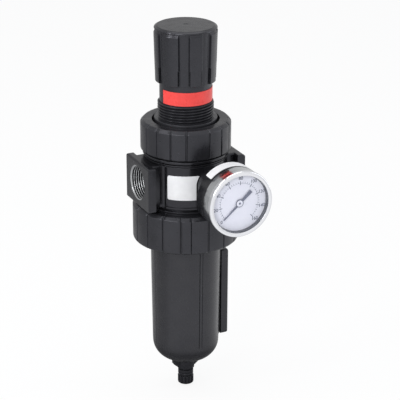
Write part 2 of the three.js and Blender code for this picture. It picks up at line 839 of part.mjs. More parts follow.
function makeScrew() {
  const shaft = turned([
    [0, collarFloor - screwThreadLength],
    [screwRadius, collarFloor - screwThreadLength],
    [screwRadius, collarFloor],
    [thrustCollarRadius, collarFloor],
    [thrustCollarRadius, collarFloor + thrustCollarHeight],
    [screwRadius, collarFloor + thrustCollarHeight],
    [screwRadius, clipFloor - slidingGap],
    [screwRadius - clipGrooveDepth, clipFloor - slidingGap],
    [screwRadius - clipGrooveDepth, clipFloor + clipThickness + slidingGap],
    [screwRadius, clipFloor + clipThickness + slidingGap],
    [screwRadius, driveFloor + 1],
    [0, driveFloor + 1],
  ], smallFacets);
  return join(shaft, raised(hexagon(driveAcrossFlats), driveFloor, driveFloor + driveHeight));
}

function makeClip() {
  const ring = tube(
    screwRadius - clipGrooveDepth + slidingGap, clipRadius, clipFloor, clipFloor + clipThickness, smallFacets,
  );
  return cut(ring, block(-2.2, 2.2, 0, clipRadius + 1, clipFloor - 1, clipFloor + clipThickness + 1));
}

function makeNut() {
  const disc = turned([
    [0, nutFloor - nutBossDrop],
    [nutBossRadius, nutFloor - nutBossDrop],
    [nutBossRadius, nutFloor],
    [springBoreRadius - slidingGap, nutFloor],
    [springBoreRadius - slidingGap, nutTop],
    [0, nutTop],
  ], boreFacets);
  const keys = block(
    -nutKeyWidth / 2, nutKeyWidth / 2, -springBoreRadius - nutKeyReach, springBoreRadius + nutKeyReach,
    nutFloor, nutTop,
  );
  return cut(join(disc, keys), rod(screwRadius + slidingGap, nutFloor - nutBossDrop - 1, nutTop + 1));
}

add("adjusting_screw", makeScrew(), steel());
add("retaining_clip", makeClip(), steel());
add(
  "thrust_washer",
  tube(screwRadius + slidingGap, thrustCollarRadius, webFloor - thrustWasherThickness, webFloor, smallFacets),
  nylon(),
);
add("spring_nut", makeNut(), brass());

// ---- Regulating spring and diaphragm ----------------------------------------------------------------------

const regulatingSpring = coilSpring(
  springRadius, springWire, springTurns, plateTop + slidingGap, nutFloor - slidingGap,
);
springGap("regulating_spring", regulatingSpring, springTurns);
add("regulating_spring", regulatingSpring, steel());

// The diaphragm: clamped rim, sloping ring, and a lower middle between the two plates.
function makeDiaphragm() {
  const slopeTop = plateChamberRadius + 2;
  const slopeFoot = plateRadius + 1;
  return turned([
    [diaphragmHole, diaphragmMiddle - diaphragmThickness],
    [slopeFoot, diaphragmMiddle - diaphragmThickness],
    [slopeTop, neckTop],
    [neckTopRadius, neckTop],
    [neckTopRadius, flangeFloor],
    [slopeTop - 0.6, flangeFloor],
    [slopeFoot - 0.6, diaphragmMiddle],
    [diaphragmHole, diaphragmMiddle],
  ], boreFacets);
}

add("diaphragm", makeDiaphragm(), rubber());

function makeDiaphragmPlate() {
  return turned([
    [0, lowerPlateFloor],
    [lowerPlateRadius, lowerPlateFloor],
    [lowerPlateRadius, lowerPlateTop],
    [spoolRadius, lowerPlateTop],
    [spoolRadius, plateFloor],
    [plateRadius, plateFloor],
    [plateRadius, plateTop],
    [0, plateTop],
  ], boreFacets);
}

add("diaphragm_plate", makeDiaphragmPlate(), steel());

// ---- Main valve -------------------------------------------------------------------------------------------

function makeSeat() {
  return turned([
    [seatOpeningRadius, seatWebBottom],
    [seatBoreRadius - slidingGap, seatWebBottom],
    [seatBoreRadius - slidingGap, seatWebTop],
    [seatFlangeRadius, seatWebTop],
    [seatFlangeRadius, seatWebTop + seatFlangeThickness],
    [seatOpeningRadius, seatWebTop + seatFlangeThickness],
  ], smallFacets);
}

function makePoppet() {
  return turned([
    [0, poppetFloor - poppetTailLength],
    [poppetTailRadius, poppetFloor - poppetTailLength],
    [poppetTailRadius, poppetFloor],
    [poppetRadius, poppetFloor],
    [poppetRadius, poppetTop],
    [poppetStemRadius, poppetTop],
    [poppetStemRadius, lowerPlateFloor - slidingGap],
    [0, lowerPlateFloor - slidingGap],
  ], smallFacets);
}

function makeGuide() {
  const blindBore = poppetFloor - poppetTailLength - valveTravel - slidingGap;
  const cup = turned([
    [0, baffleFloor - baffleHubDrop + 1],
    [tieRodRadius, baffleFloor - baffleHubDrop + 1],
    [tieRodRadius, guideFlangeFloor],
    [guideFlangeRadius, guideFlangeFloor],
    [guideFlangeRadius, skirtRoof],
    [valveBoreRadius - slidingGap, skirtRoof],
    [valveBoreRadius - slidingGap, guideTop],
    [guideBoreRadius, guideTop],
    [guideBoreRadius, guideInnerFloor],
    [poppetTailRadius + slidingGap, guideInnerFloor],
    [poppetTailRadius + slidingGap, blindBore],
    [0, blindBore],
  ], smallFacets);
  const hole = rod(guideHoleRadius, guideFlangeFloor - 1, guideInnerFloor + 1, 6)
    .translate(guideHoleCircle, 0, 0);
  const sealFloor = guideTop - 4;
  const sealGroove = tube(
    valveBoreRadius - slidingGap - 2 * sealSection, valveBoreRadius + 1,
    sealFloor - 2 * sealSection - slidingGap, sealFloor + slidingGap, smallFacets,
  );
  return cut(cup, sealGroove, ...atAngles(hole, evenly(guideHoleCount)));
}

add("valve_seat", makeSeat(), brass());
add("valve_poppet", makePoppet(), brass());
const valveSpring = coilSpring(
  valveSpringRadius, valveSpringWire, valveSpringTurns,
  guideInnerFloor + slidingGap, poppetFloor - slidingGap,
);
springGap("valve_spring", valveSpring, valveSpringTurns);
add("valve_spring", valveSpring, steel());
add("valve_guide", makeGuide(), blackPlastic());
const guideSealSection = sealSection - slidingGap / 2;
add(
  "guide_seal",
  oRing(
    valveBoreRadius - slidingGap - sealSection, guideSealSection, guideTop - 4 - sealSection, smallFacets,
  ),
  rubber(),
);

// ---- Filter -----------------------------------------------------------------------------------------------

function makeDeflector() {
  const flanged = turned([
    [deflectorTubeInner, deflectorFloor],
    [deflectorTubeOuter, deflectorFloor],
    [deflectorTubeOuter, guideFlangeFloor - deflectorPlate],
    [deflectorRadius, guideFlangeFloor - deflectorPlate],
    [deflectorRadius, guideFlangeFloor],
    [deflectorTubeInner, guideFlangeFloor],
  ], boreFacets);
  const vaneMiddle = guideFlangeFloor - deflectorPlate - vaneHeight / 2 + 0.6;
  const vaneReach = (deflectorRadius - deflectorTubeOuter) / 2 + 0.6;
  const blade = new THREE.BoxGeometry(vaneThickness, 2 * vaneReach, vaneHeight / Math.cos(degrees(vaneAngle)))
    .rotateY(degrees(vaneAngle))
    .translate(0, -(deflectorRadius + deflectorTubeOuter) / 2 + 0.4, vaneMiddle);
  const envelope = tube(
    deflectorTubeOuter - 1, deflectorRadius - 0.4,
    vaneMiddle - vaneHeight / 2, guideFlangeFloor - deflectorPlate / 2, boreFacets,
  );
  const vane = common(blade, envelope);
  return join(flanged, ...atAngles(vane, evenly(vaneCount, vaneFirst)));
}

function makeBaffle() {
  const outline = [
    [tieRodRadius + slidingGap, elementFloor],
    [tieRodRadius + slidingGap, baffleFloor - baffleHubDrop],
    [baffleHubRadius, baffleFloor - baffleHubDrop],
    [baffleHubRadius, baffleFloor],
    [baffleRadius - 2.2, baffleFloor],
    [baffleRadius - 1.4, baffleFloor - baffleSkirt],
    [baffleRadius, baffleFloor - baffleSkirt],
    [baffleRadius, baffleFloor],
    [elementRadius + 1, elementFloor],
  ];
  return turned(outline, boreFacets);
}

add("deflector", makeDeflector(), blackPlastic());
add(
  "filter_element",
  tube(elementBore, elementRadius, elementFloor, deflectorFloor, boreFacets),
  sinteredPlastic(),
);
add("baffle", makeBaffle(), blackPlastic());

// ---- Bowl -------------------------------------------------------------------------------------------------

// The rounded end of the bowl, from its side down to its boss: a corner arc, then a shallow dome.
function bowlEnd(sideRadius, startHeight, cornerRadius, centreHeight, steps) {
  const corner = arc(sideRadius - cornerRadius, startHeight, cornerRadius, 0, -bowlCornerAngle, steps);
  const [lastRadius, lastHeight] = corner[corner.length - 1];
  const dome = [2 / 3, 1 / 3].map((share) => {
    const radius = lastRadius * share;
    return [radius, centreHeight + (lastHeight - centreHeight) * share * share];
  });
  return [...corner, ...dome, [0, centreHeight]];
}

const sealHeight = (bowlFlangeTop + spigotTop) / 2;
const sightWindowLength = sightLength - 2 * (sightScrewInset + sightScrewRadius + sightWindowLand);
const sightTop = bowlRingFloor - sightDrop;
const sightBottom = sightTop - sightLength;
const sightMiddle = (sightTop + sightBottom) / 2;

function makeBowl() {
  const outerEnd = bowlEnd(bowlBottomRadius, bowlRoundStart, bowlCornerRadius, bowlBottom, 5);
  const innerEnd = bowlEnd(
    bowlBottomRadius - bowlWall, bowlRoundStart, bowlCornerRadius - bowlWall, bowlBottom + bowlWall, 3,
  );
  const outside = turned([
    [0, spigotTop],
    [spigotRadius, spigotTop],
    [spigotRadius, bowlFlangeTop],
    [bowlFlangeRadius, bowlFlangeTop],
    [bowlFlangeRadius, lipTop],
    [bowlTopRadius, lipTop],
    ...outerEnd,
  ]);
  const inside = turned([
    [0, spigotTop + 1],
    [bowlTopRadius - bowlWall, spigotTop + 1],
    [bowlTopRadius - bowlWall, lipTop],
    ...innerEnd,
  ], boreFacets);
  const boss = rod(bowlBossRadius, bowlBossFloor, bowlInnerFloor);
  const pad = block(
    bowlBottomRadius - bowlWall - 1, sightPadX, -sightPadWidth / 2, sightPadWidth / 2, sightBottom, sightTop,
  );
  const ribs = atAngles(
    block(
      -bowlRibWidth / 2, bowlRibWidth / 2, -bowlTopRadius - bowlRibRise, -bowlBottomRadius + bowlWall,
      bowlRoundStart, bowlRingFloor - slidingGap,
    ),
    bowlRibAngles,
  );
  const ribEnvelope = turned([
    [0, lipTop],
    [bowlTopRadius + bowlRibRise, lipTop],
    [bowlBottomRadius + bowlRibRise, bowlRoundStart],
    [0, bowlRoundStart],
  ]);
  const sealGroove = tube(
    spigotRadius - 2 * sealSection, spigotRadius + 1,
    sealHeight - sealSection - slidingGap / 2, sealHeight + sealSection + slidingGap / 2, boreFacets,
  );
  const shankHole = rod(drainShankRadius + slidingGap, bowlBossFloor - 1, bowlInnerFloor + 1);
  const sightSlot = block(
    0, sightPadX + 1, -sightWindowWidth / 2, sightWindowWidth / 2,
    sightMiddle - sightWindowLength / 2, sightMiddle + sightWindowLength / 2,
  );
  const nutRoom = rod(bowlBossRadius + 1, bowlInnerFloor, bowlInnerFloor + 8);
  const wall = join(outside, pad, ...ribs.map((rib) => common(rib, ribEnvelope)));
  return cut(join(cut(wall, inside), boss), sealGroove, shankHole, sightSlot, nutRoom, ...sightScrewHoles());
}

// Pilot holes of the two guard screws, in the bowl's pad.
function sightScrewHoles() {
  return sightScrewHeights().map((height) =>
    rod(sightScrewRadius + slidingGap, sightPadX - sightScrewBite, sightPadX + 1, 12)
      .rotateY(Math.PI / 2).translate(0, 0, height));
}

function sightScrewHeights() {
  return [sightTop - sightScrewInset, sightBottom + sightScrewInset];
}

add("bowl", makeBowl(), blackPaint());
add(
  "bowl_seal",
  oRing(spigotRadius - sealSection + slidingGap / 2, sealSection - slidingGap, sealHeight, boreFacets),
  rubber(),
);

// ---- Sight gauge ------------------------------------------------------------------------------------------

const sealFace = sightPadX + sightSealThickness;
const lensFace = sealFace + sightLensThickness;

function sightStrip(width, length, from, to, corner) {
  return raised(roundedRectangle(length, width, corner), from, to, 3)
    .rotateY(Math.PI / 2).translate(0, 0, sightMiddle);
}

function screwClearances(radius, from, to) {
  return sightScrewHeights().map((height) =>
    rod(radius, from, to, 12).rotateY(Math.PI / 2).translate(0, 0, height));
}

function makeSightSeal() {
  const strip = sightStrip(sightPadWidth - 1, sightLength - 1, sightPadX, sealFace, sightCorner);
  const window = sightStrip(
    sightWindowWidth, sightWindowLength, sightPadX - 1, sealFace + 1, sightWindowWidth / 2.1,
  );
  return cut(strip, window, ...screwClearances(sightScrewRadius + slidingGap, sightPadX - 1, sealFace + 1));
}

function makeSightGuard() {
  const bar = sightStrip(sightWidth, sightLength, sealFace, sightOuterX, sightCorner);
  const channel = sightStrip(
    sightChannelWidth, sightWindowLength + 6, sealFace - 1, lensFace + slidingGap, sightChannelWidth / 2.1,
  );
  const window = sightStrip(
    sightWindowWidth, sightWindowLength, sealFace, sightOuterX + 1, sightWindowWidth / 2.1,
  );
  const holes = screwClearances(sightScrewRadius + slidingGap, sealFace - 1, sightOuterX + 1);
  return cut(bar, channel, window, ...holes);
}

function makeSightScrew(height) {
  const shank = rod(sightScrewRadius, sightPadX - sightScrewBite + slidingGap, sightOuterX + 0.5, 12);
  const head = rod(sightHeadRadius, sightOuterX, sightOuterX + sightHeadHeight, 16);
  const driveSlot = block(
    -0.4, 0.4, -sightHeadRadius - 1, sightHeadRadius + 1,
    sightOuterX + sightHeadHeight - 0.8, sightOuterX + sightHeadHeight + 1,
  );
  return cut(join(shank, head), driveSlot).rotateY(Math.PI / 2).translate(0, 0, height);
}

add("sight_seal", makeSightSeal(), rubber());
add(
  "sight_lens",
  sightStrip(sightLensWidth, sightWindowLength + 5, sealFace, lensFace, sightLensWidth / 2.1),
  clearPlastic(),
);
add("sight_guard", makeSightGuard(), blackPaint());
const [topScrew, bottomScrew] = sightScrewHeights();
add("sight_screw_top", makeSightScrew(topScrew), steel());
add("sight_screw_bottom", makeSightScrew(bottomScrew), steel());

// ---- Drain ------------------------------------------------------------------------------------------------

const drainNutFloor = bowlInnerFloor;
const drainShankTop = drainNutFloor + drainNutHeight + 1;

function makeDrainBody() {
  const round = turned([
    [0, drainStemFloor],
    [drainStemRadius, drainStemFloor],
    [drainStemRadius, drainHubFloor],
    [drainHubRadius, drainHubFloor],
    [drainHubRadius, drainTop],
    [drainShankRadius, drainTop],
    [drainShankRadius, drainShankTop],
    [0, drainShankTop],
  ], smallFacets);
  const wing = new THREE.Shape([
    new THREE.Vector2(0, drainTop),
    new THREE.Vector2(drainWingReach, drainTop),
    new THREE.Vector2(drainWingReach, drainTop - drainWingHeight * 0.45),
    new THREE.Vector2(drainHubRadius, drainTop - drainWingHeight),
    new THREE.Vector2(0, drainTop - drainWingHeight),
  ]);
  const plate = raised(wing, -drainWingWidth / 2, drainWingWidth / 2).rotateX(Math.PI / 2);
  const wings = atAngles(plate, [0, 180]);
  return cut(join(round, ...wings), rod(drainBoreRadius, drainStemFloor - 1, drainShankTop + 1));
}

function makeDrainKnob() {
  const knob = turned([
    [0, drainKnobFloor],
    [drainStemRadius - drainKnobChamfer, drainKnobFloor],
    [drainStemRadius, drainKnobFloor + drainKnobChamfer],
    [drainStemRadius, drainKnobTop],
    [drainSpindleRadius, drainKnobTop],
    [drainSpindleRadius, drainKnobTop + drainSpindleLength],
    [0, drainKnobTop + drainSpindleLength],
  ], smallFacets);
  const flute = rod(drainFluteRadius, drainKnobFloor - 1, drainKnobTop - 1.2, 6)
    .translate(drainStemRadius, 0, 0);
  const outlet = rod(drainOutletRadius, drainKnobFloor - 1, drainKnobTop + drainSpindleLength - 2, 12);
  return cut(knob, outlet, ...atAngles(flute, evenly(drainFluteCount)));
}

function makeDrainNut() {
  const nut = raised(hexagon(drainNutAcrossFlats), drainNutFloor, drainNutFloor + drainNutHeight);
  return cut(nut, rod(drainShankRadius + slidingGap, drainNutFloor - 1, drainNutFloor + drainNutHeight + 1));
}

add(
  "drain_seal",
  tube(drainShankRadius + slidingGap, drainHubRadius, drainTop, bowlBossFloor, smallFacets),
  rubber(),
);
add("drain_body", makeDrainBody(), blackPlastic());
add("drain_knob", makeDrainKnob(), blackPlastic());
add("drain_nut", makeDrainNut(), brass());

// ---- Gauge ------------------------------------------------------------------------------------------------

// The gauge stands in its own frame: its +Z runs out of the dial, its +Y is up.
const gauge = new THREE.Group();
gauge.position.set(gaugeX, 0, gaugeZ);
gauge.rotation.x = Math.PI / 2;
regulator.add(gauge);

const caseRim = gaugeFront - gaugeBezelFace - gaugeLensThickness - 2 * slidingGap;
const caseInner = gaugeCaseRadius - gaugeCaseWall;
const bezelOpening = gaugeBezelRadius - gaugeBezelWidth;
const dialRadius = caseInner - slidingGap;
const socketFloor = gaugeBack + gaugeCaseWall + slidingGap;

function makeStem() {
  const flats = new THREE.Shape([
    new THREE.Vector2(gaugeStemAcrossFlats / 2, gaugeStemAcrossFlats / 2),
    new THREE.Vector2(-gaugeStemAcrossFlats / 2, gaugeStemAcrossFlats / 2),
    new THREE.Vector2(-gaugeStemAcrossFlats / 2, -gaugeStemAcrossFlats / 2),
    new THREE.Vector2(gaugeStemAcrossFlats / 2, -gaugeStemAcrossFlats / 2),
  ]);
  const thread = rod(gaugePortRadius - slidingGap, gaugeBossFace - gaugePortDepth + 2, gaugeBossFace + 1);
  const square = raised(flats, gaugeBossFace + slidingGap, gaugeBack - slidingGap);
  const corners = rod(gaugeStemAcrossFlats * 0.62, gaugeBossFace, gaugeBack);
  const neck = rod(gaugeStemNeckRadius, gaugeBossFace, socketFloor + gaugeSocketHeight);
  const socket = block(
    -gaugeSocketWidth / 2, gaugeSocketWidth / 2, -bourdonRadius - bourdonThickness, 0,
    socketFloor, socketFloor + gaugeSocketHeight,
  );
  return join(thread, common(square, corners), neck, socket);
}

function makeCase() {
  return turned([
    [gaugeStemNeckRadius + slidingGap, gaugeBack],
    [gaugeCaseRadius - 1, gaugeBack],
    [gaugeCaseRadius, gaugeBack + 1],
    [gaugeCaseRadius, caseRim],
    [caseInner, caseRim],
    [caseInner, gaugeBack + gaugeCaseWall],
    [gaugeStemNeckRadius + slidingGap, gaugeBack + gaugeCaseWall],
  ]);
}

function makeBezel() {
  const inner = gaugeCaseRadius + slidingGap / 2;
  return turned([
    [inner, gaugeFront - gaugeBezelDepth],
    [gaugeBezelRadius - 0.3, gaugeFront - gaugeBezelDepth],
    [gaugeBezelRadius, gaugeFront - gaugeBezelDepth + 0.6],
    [gaugeBezelRadius, gaugeFront - 1.4],
    [gaugeBezelRadius - 1.2, gaugeFront - 0.2],
    [gaugeBezelRadius - 2, gaugeFront],
    [bezelOpening, gaugeFront - gaugeBezelFace / 2],
    [bezelOpening, gaugeFront - gaugeBezelFace],
    [inner, gaugeFront - gaugeBezelFace],
  ]);
}

// The pointer, drawn pointing along +X and turned to the zero mark.
function makePointer() {
  const outline = new THREE.Shape([
    new THREE.Vector2(-pointerTail, -1.3),
    new THREE.Vector2(-pointerHubRadius, -0.8),
    new THREE.Vector2(0, -0.75),
    new THREE.Vector2(pointerLength, -0.2),
    new THREE.Vector2(pointerLength, 0.2),
    new THREE.Vector2(0, 0.75),
    new THREE.Vector2(-pointerHubRadius, 0.8),
    new THREE.Vector2(-pointerTail, 1.3),
  ]);
  const floor = dialFront + 2 * slidingGap;
  const top = floor + pointerThickness;
  const blade = raised(outline, floor, top).rotateZ(degrees(pointerZero));
  const hub = rod(pointerHubRadius, floor - slidingGap, top + pointerHubRise, 16);
  const shaft = rod(pointerShaftRadius, dialBack - 2, floor + 0.2, 12);
  return join(blade, hub, shaft);
}

function makeSticker() {
  const inner = gaugeCaseRadius + labelGap;
  const sheet = tube(inner, inner + stickerThickness, gaugeBack + 1.2, gaugeBack + stickerWidth);
  const side = 90; // the gauge's own angles start at the outlet side
  const kept = sector(0, 2 * inner, stickerFrom + side, stickerTo + side, gaugeBack, gaugeFront, 6);
  return common(sheet, kept);
}

// The curved tube that straightens under pressure: three quarters of a turn of flattened section.
function makeBourdon() {
  const middle = socketFloor + gaugeSocketHeight / 2;
  const reach = gaugeSocketWidth / 2 + slidingGap;
  const clear = THREE.MathUtils.radToDeg(Math.asin(reach / (bourdonRadius - bourdonThickness / 2)));
  const route = new THREE.CatmullRomCurve3(
    arc(0, 0, bourdonRadius, clear - 90, 160, 12).map(([x, y]) => new THREE.Vector3(x, y, middle)),
  );
  const section = new THREE.Shape();
  section.absellipse(0, 0, bourdonWidth / 2, bourdonThickness / 2, 0, 2 * Math.PI);
  return new THREE.ExtrudeGeometry(section, { extrudePath: route, steps: 16, curveSegments: 4 });
}

function makeMovement() {
  const back = socketFloor + gaugeSocketHeight + slidingGap;
  const front = dialBack - slidingGap;
  const plates = join(
    rod(movementRadius, back, back + 1.2, 16),
    rod(movementRadius, front - 1.2, front, 16),
    rod(2, back, front, 12).translate(0, movementRadius - 3, 0),
    rod(2, back, front, 12).translate(0, -movementRadius + 3, 0),
  );
  return cut(plates, rod(pointerShaftRadius + slidingGap, dialBack - 3, dialBack + 1, 12));
}

add("gauge_stem", makeStem(), brass(), gauge);
add("gauge_case", makeCase(), chrome(), gauge);
add("gauge_bezel", makeBezel(), chrome(), gauge);
add(
  "gauge_lens",
  rod(gaugeCaseRadius - 0.6, caseRim + slidingGap, caseRim + slidingGap + gaugeLensThickness, boreFacets),
  clearPlastic(),
  gauge,
);
add(
  "gauge_dial",
  tube(pointerShaftRadius + slidingGap, dialRadius, dialBack, dialFront, boreFacets),
  whiteVinyl(),
  gauge,
);
add("gauge_pointer", makePointer(), finish("#5a5e68", 0.5), gauge);
add("gauge_sticker", makeSticker(), whiteVinyl(), gauge);
add("bourdon_tube", makeBourdon(), brass(), gauge);
add("gauge_movement", makeMovement(), brass(), gauge);

export default regulator;
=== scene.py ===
# Looks of a combined compressed-air filter and regulator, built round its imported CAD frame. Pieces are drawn
# in millimetres and turned into metres as they are made.
from math import atan2, cos, degrees, pi, radians, sin, tan

import bmesh
import bpy
from mathutils import Matrix, Vector


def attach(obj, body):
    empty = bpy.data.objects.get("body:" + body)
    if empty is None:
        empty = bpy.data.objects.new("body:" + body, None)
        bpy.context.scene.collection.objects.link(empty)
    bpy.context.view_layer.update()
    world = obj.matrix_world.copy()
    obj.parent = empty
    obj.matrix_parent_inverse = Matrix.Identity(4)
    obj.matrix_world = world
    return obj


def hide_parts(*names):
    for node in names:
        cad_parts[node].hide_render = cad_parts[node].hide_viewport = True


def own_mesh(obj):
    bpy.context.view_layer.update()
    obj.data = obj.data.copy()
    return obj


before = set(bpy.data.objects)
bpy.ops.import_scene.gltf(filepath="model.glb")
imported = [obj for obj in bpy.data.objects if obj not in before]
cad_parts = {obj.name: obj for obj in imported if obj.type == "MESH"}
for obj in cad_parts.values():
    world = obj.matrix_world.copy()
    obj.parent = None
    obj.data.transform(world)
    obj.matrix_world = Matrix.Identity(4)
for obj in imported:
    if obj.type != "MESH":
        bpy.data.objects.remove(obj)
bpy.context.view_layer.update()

# ---- Camera --------------------------------------------------------
# The photograph's view: 25 degrees round to the inlet side and 22 degrees above, through a long lens that
# keeps the uprights nearly parallel.

camera_target = Vector((0, 0, -0.0214))
camera_direction = Vector((-0.3918, -0.8403, 0.3746))
camera_distance = 1.1328
camera_data = bpy.data.cameras.new("camera")
camera_data.lens = 130.5
camera_data.sensor_width = 36
camera_data.shift_x = 0.0358
camera = bpy.data.objects.new("camera", camera_data)
bpy.context.collection.objects.link(camera)
camera.location = camera_target + camera_direction * camera_distance
camera.rotation_euler = camera_direction.to_track_quat("Z", "Y").to_euler()
bpy.context.scene.camera = camera
bpy.context.scene.view_settings.view_transform = "Standard"

# ---- Studio --------------------------------------------------------
# A light tent: a bright surround over seamless white paper. Softboxes stand on the left (key and side), on
# the right (fill) and overhead (top and high side).


def linear(colour):
    """An sRGB hex colour as linear RGBA."""
    channels = [int(colour[i:i + 2], 16) / 255 for i in (1, 3, 5)]
    return (*[c / 12.92 if c <= 0.04045 else ((c + 0.055) / 1.055) ** 2.4 for c in channels], 1)


def add_node(tree, kind, inputs=None, **settings):
    """A shader node with its settings, and its inputs as values or as links from other sockets."""
    made = tree.nodes.new("ShaderNode" + kind)
    for key, value in settings.items():
        setattr(made, key, value)
    for key, value in (inputs or {}).items():
        if isinstance(value, bpy.types.NodeSocket):
            tree.links.new(value, made.inputs[key])
        else:
            made.inputs[key].default_value = value
    return made


def seen_direct(tree, point, levels, clear=0):
    """Where the backdrop is looked at and not just lighting the unit, and how bright it is there.

    To the camera and through glass it is at 1. In mirrors it has a ring of levels, each (degrees from the
    front towards the outlet, level), which opens and closes on the inlet side, at -90 and 270. The ring falls
    off inside `clear` metres of the middle, a painted shadow where the unit itself stands in the light.
    """
    rays = add_node(tree, "LightPath").outputs
    straight = add_node(tree, "Math", {
        0: rays["Is Camera Ray"], 1: rays["Is Transmission Ray"]}, operation="MAXIMUM").outputs[0]
    along = add_node(tree, "SeparateXYZ", {"Vector": point}).outputs
    angle = add_node(tree, "Math", {0: along["Y"], 1: along["X"]}, operation="ARCTAN2").outputs[0]
    share = add_node(tree, "MapRange", {"Value": angle, "From Min": -pi, "From Max": pi}).outputs["Result"]
    ring = add_node(tree, "ValToRGB", {"Fac": share})
    stops = ring.color_ramp.elements
    for degree, _ in levels[1:-1]:
        stops.new(degree / 360 + 0.25)
    for stop, (_, level) in zip(stops, levels):
        stop.color = (level, level, level, 1)
    mirrored = add_node(tree, "Math", {
        0: rays["Is Glossy Ray"], 1: ring.outputs["Color"]}, operation="MULTIPLY").outputs[0]
    if clear:
        distance = add_node(tree, "VectorMath", {0: point}, operation="LENGTH").outputs["Value"]
        near = add_node(tree, "MapRange", {
            "Value": distance, "From Min": clear / 3, "From Max": clear, "To Min": 0.12, "To Max": 1},
            interpolation_type="SMOOTHSTEP").outputs["Result"]
        mirrored = add_node(tree, "Math", {0: mirrored, 1: near}, operation="MULTIPLY").outputs[0]
    level = add_node(tree, "Math", {0: straight, 1: mirrored}, operation="MAXIMUM").outputs[0]
    seen = add_node(tree, "Math", {0: straight, 1: rays["Is Glossy Ray"]}, operation="MAXIMUM").outputs[0]
    return seen, level


tent_levels = [
    (-90, 0.6), (-70, 1), (20, 1), (60, 0.8), (100, 0.85), (150, 0.66), (200, 0.52), (240, 0.5), (270, 0.6)]
world = bpy.data.worlds.new("tent")
world.use_nodes = True
bpy.context.scene.world = world
tree = world.node_tree
tree.nodes.clear()
direction = add_node(tree, "TexCoord").outputs["Generated"]
height = add_node(tree, "SeparateXYZ", {"Vector": direction}).outputs["Z"]
lift = add_node(tree, "MapRange", {
    "Value": height, "From Min": -0.4, "From Max": 0.6, "To Min": 0.45, "To Max": 0.78}).outputs["Result"]
surround = add_node(tree, "Background", {"Color": linear("#f4f6fa"), "Strength": lift})
seen, level = seen_direct(tree, direction, tent_levels)
backdrop = add_node(tree, "Background", {"Color": (1, 1, 1, 1), "Strength": level})
tent = add_node(tree, "MixShader", {"Fac": seen, 1: surround.outputs[0], 2: backdrop.outputs[0]})
add_node(tree, "OutputWorld", {"Surface": tent.outputs[0]})

lamp_target = Vector((0, 0, -0.03))


def softbox(name, spot, size, power, tint):
    """A flat area light, aimed at the middle of the unit."""
    data = bpy.data.lights.new(name, "AREA")
    data.shape = "RECTANGLE"
    data.size, data.size_y = size
    data.energy = power
    data.color = linear(tint)[:3]
    lamp = bpy.data.objects.new(name, data)
    lamp.location = spot
    lamp.rotation_euler = (Vector(spot) - lamp_target).to_track_quat("Z", "Y").to_euler()
    bpy.context.collection.objects.link(lamp)


softbox("key", (-0.85, -0.75, 0.55), (0.5, 0.6), 4.4, "#ffffff")
softbox("side", (-1.05, -0.1, 0.5), (0.2, 0.34), 2.0, "#ffffff")
softbox("fill", (0.95, -0.35, 0.25), (0.35, 0.9), 1.5, "#f6f9ff")
softbox("top", (0.1, 0.2, 1.1), (0.8, 0.8), 2.4, "#ffffff")
softbox("high side", (-0.62, 0.15, 0.95), (0.4, 0.4), 1.2, "#ffffff")

floor_height = -0.1835
floor_reach = 4
# In mirrors the paper's glow is painted: darkest towards the back, with a painted shadow round the unit.
floor_shadow_reach = 0.13
floor_levels = [
    (-90, 0.55), (-75, 0.9), (-50, 1), (20, 1), (50, 0.85), (100, 0.95), (150, 0.6), (200, 0.4), (240, 0.35),
    (270, 0.55)]
floor_corners = [(x * floor_reach, y * floor_reach, 0) for x, y in ((-1, -1), (1, -1), (1, 1), (-1, 1))]
floor_mesh = bpy.data.meshes.new("floor")
floor_mesh.from_pydata(floor_corners, [], [(0, 1, 2, 3)])
floor_object = bpy.data.objects.new("floor", floor_mesh)
floor_object.location.z = floor_height
bpy.context.collection.objects.link(floor_object)

# Seamless white paper: matt, and nearly pure white to the camera, with the unit's soft shadow left in.
# In mirrors it glows with painted levels and a painted shadow round the unit.
paper = bpy.data.materials.new("paper")
paper.use_nodes = True
tree = paper.node_tree
tree.nodes.clear()
sheet = add_node(tree, "BsdfDiffuse", {"Color": linear("#f4f4f4")})
floor_point = add_node(tree, "TexCoord").outputs["Object"]
seen, level = seen_direct(tree, floor_point, floor_levels, floor_shadow_reach)
white = add_node(tree, "Emission", {"Color": (1, 1, 1, 1), "Strength": level})
share = add_node(tree, "Math", {0: seen, 1: 0.88}, operation="MULTIPLY").outputs[0]
lit_paper = add_node(tree, "MixShader", {"Fac": share, 1: sheet.outputs[0], 2: white.outputs[0]})
add_node(tree, "OutputMaterial", {"Surface": lit_paper.outputs[0]})
floor_mesh.materials.append(paper)

# ---- Body casting --------------------------------------------------
# Die-cast metal under black baked paint. One casting: round middle, port blocks with clamp grooves, bosses
# for the gauge and the rear plug, recessed label panel, and the skirt that carries the bowl ring.


def new_finish(name, colour, roughness, metallic=0.0, **sockets):
    """A material with one principled shader; returns the material, its tree and its shader."""
    made = bpy.data.materials.new(name)
    made.use_nodes = True
    tree = made.node_tree
    shader = tree.nodes["Principled BSDF"]
    shader.inputs["Base Color"].default_value = linear(colour)
    shader.inputs["Roughness"].default_value = roughness
    shader.inputs["Metallic"].default_value = metallic
    for key, value in sockets.items():
        shader.inputs[key.replace("_", " ")].default_value = value
    return made, tree, shader


def mottle(tree, size, detail=2.0, stretch=(1, 1, 1)):
    """A soft mottle with patches of about `size` millimetres, longer along an axis with a smaller stretch."""
    point = add_node(tree, "TexCoord").outputs["Object"]
    spread = add_node(tree, "Mapping", {"Vector": point, "Scale": stretch}).outputs["Vector"]
    pattern = add_node(tree, "TexNoise", {"Vector": spread, "Scale": 1000 / size, "Detail": detail})
    return pattern.outputs["Fac"]


def tinted(tree, shader, pattern, dark, light):
    """The base colour runs between two colours with a pattern."""
    ramp = add_node(tree, "ValToRGB", {"Fac": pattern})
    ramp.color_ramp.elements[0].position = 0.3
    ramp.color_ramp.elements[0].color = linear(dark)
    ramp.color_ramp.elements[1].position = 0.7
    ramp.color_ramp.elements[1].color = linear(light)
    tree.links.new(ramp.outputs["Color"], shader.inputs["Base Color"])


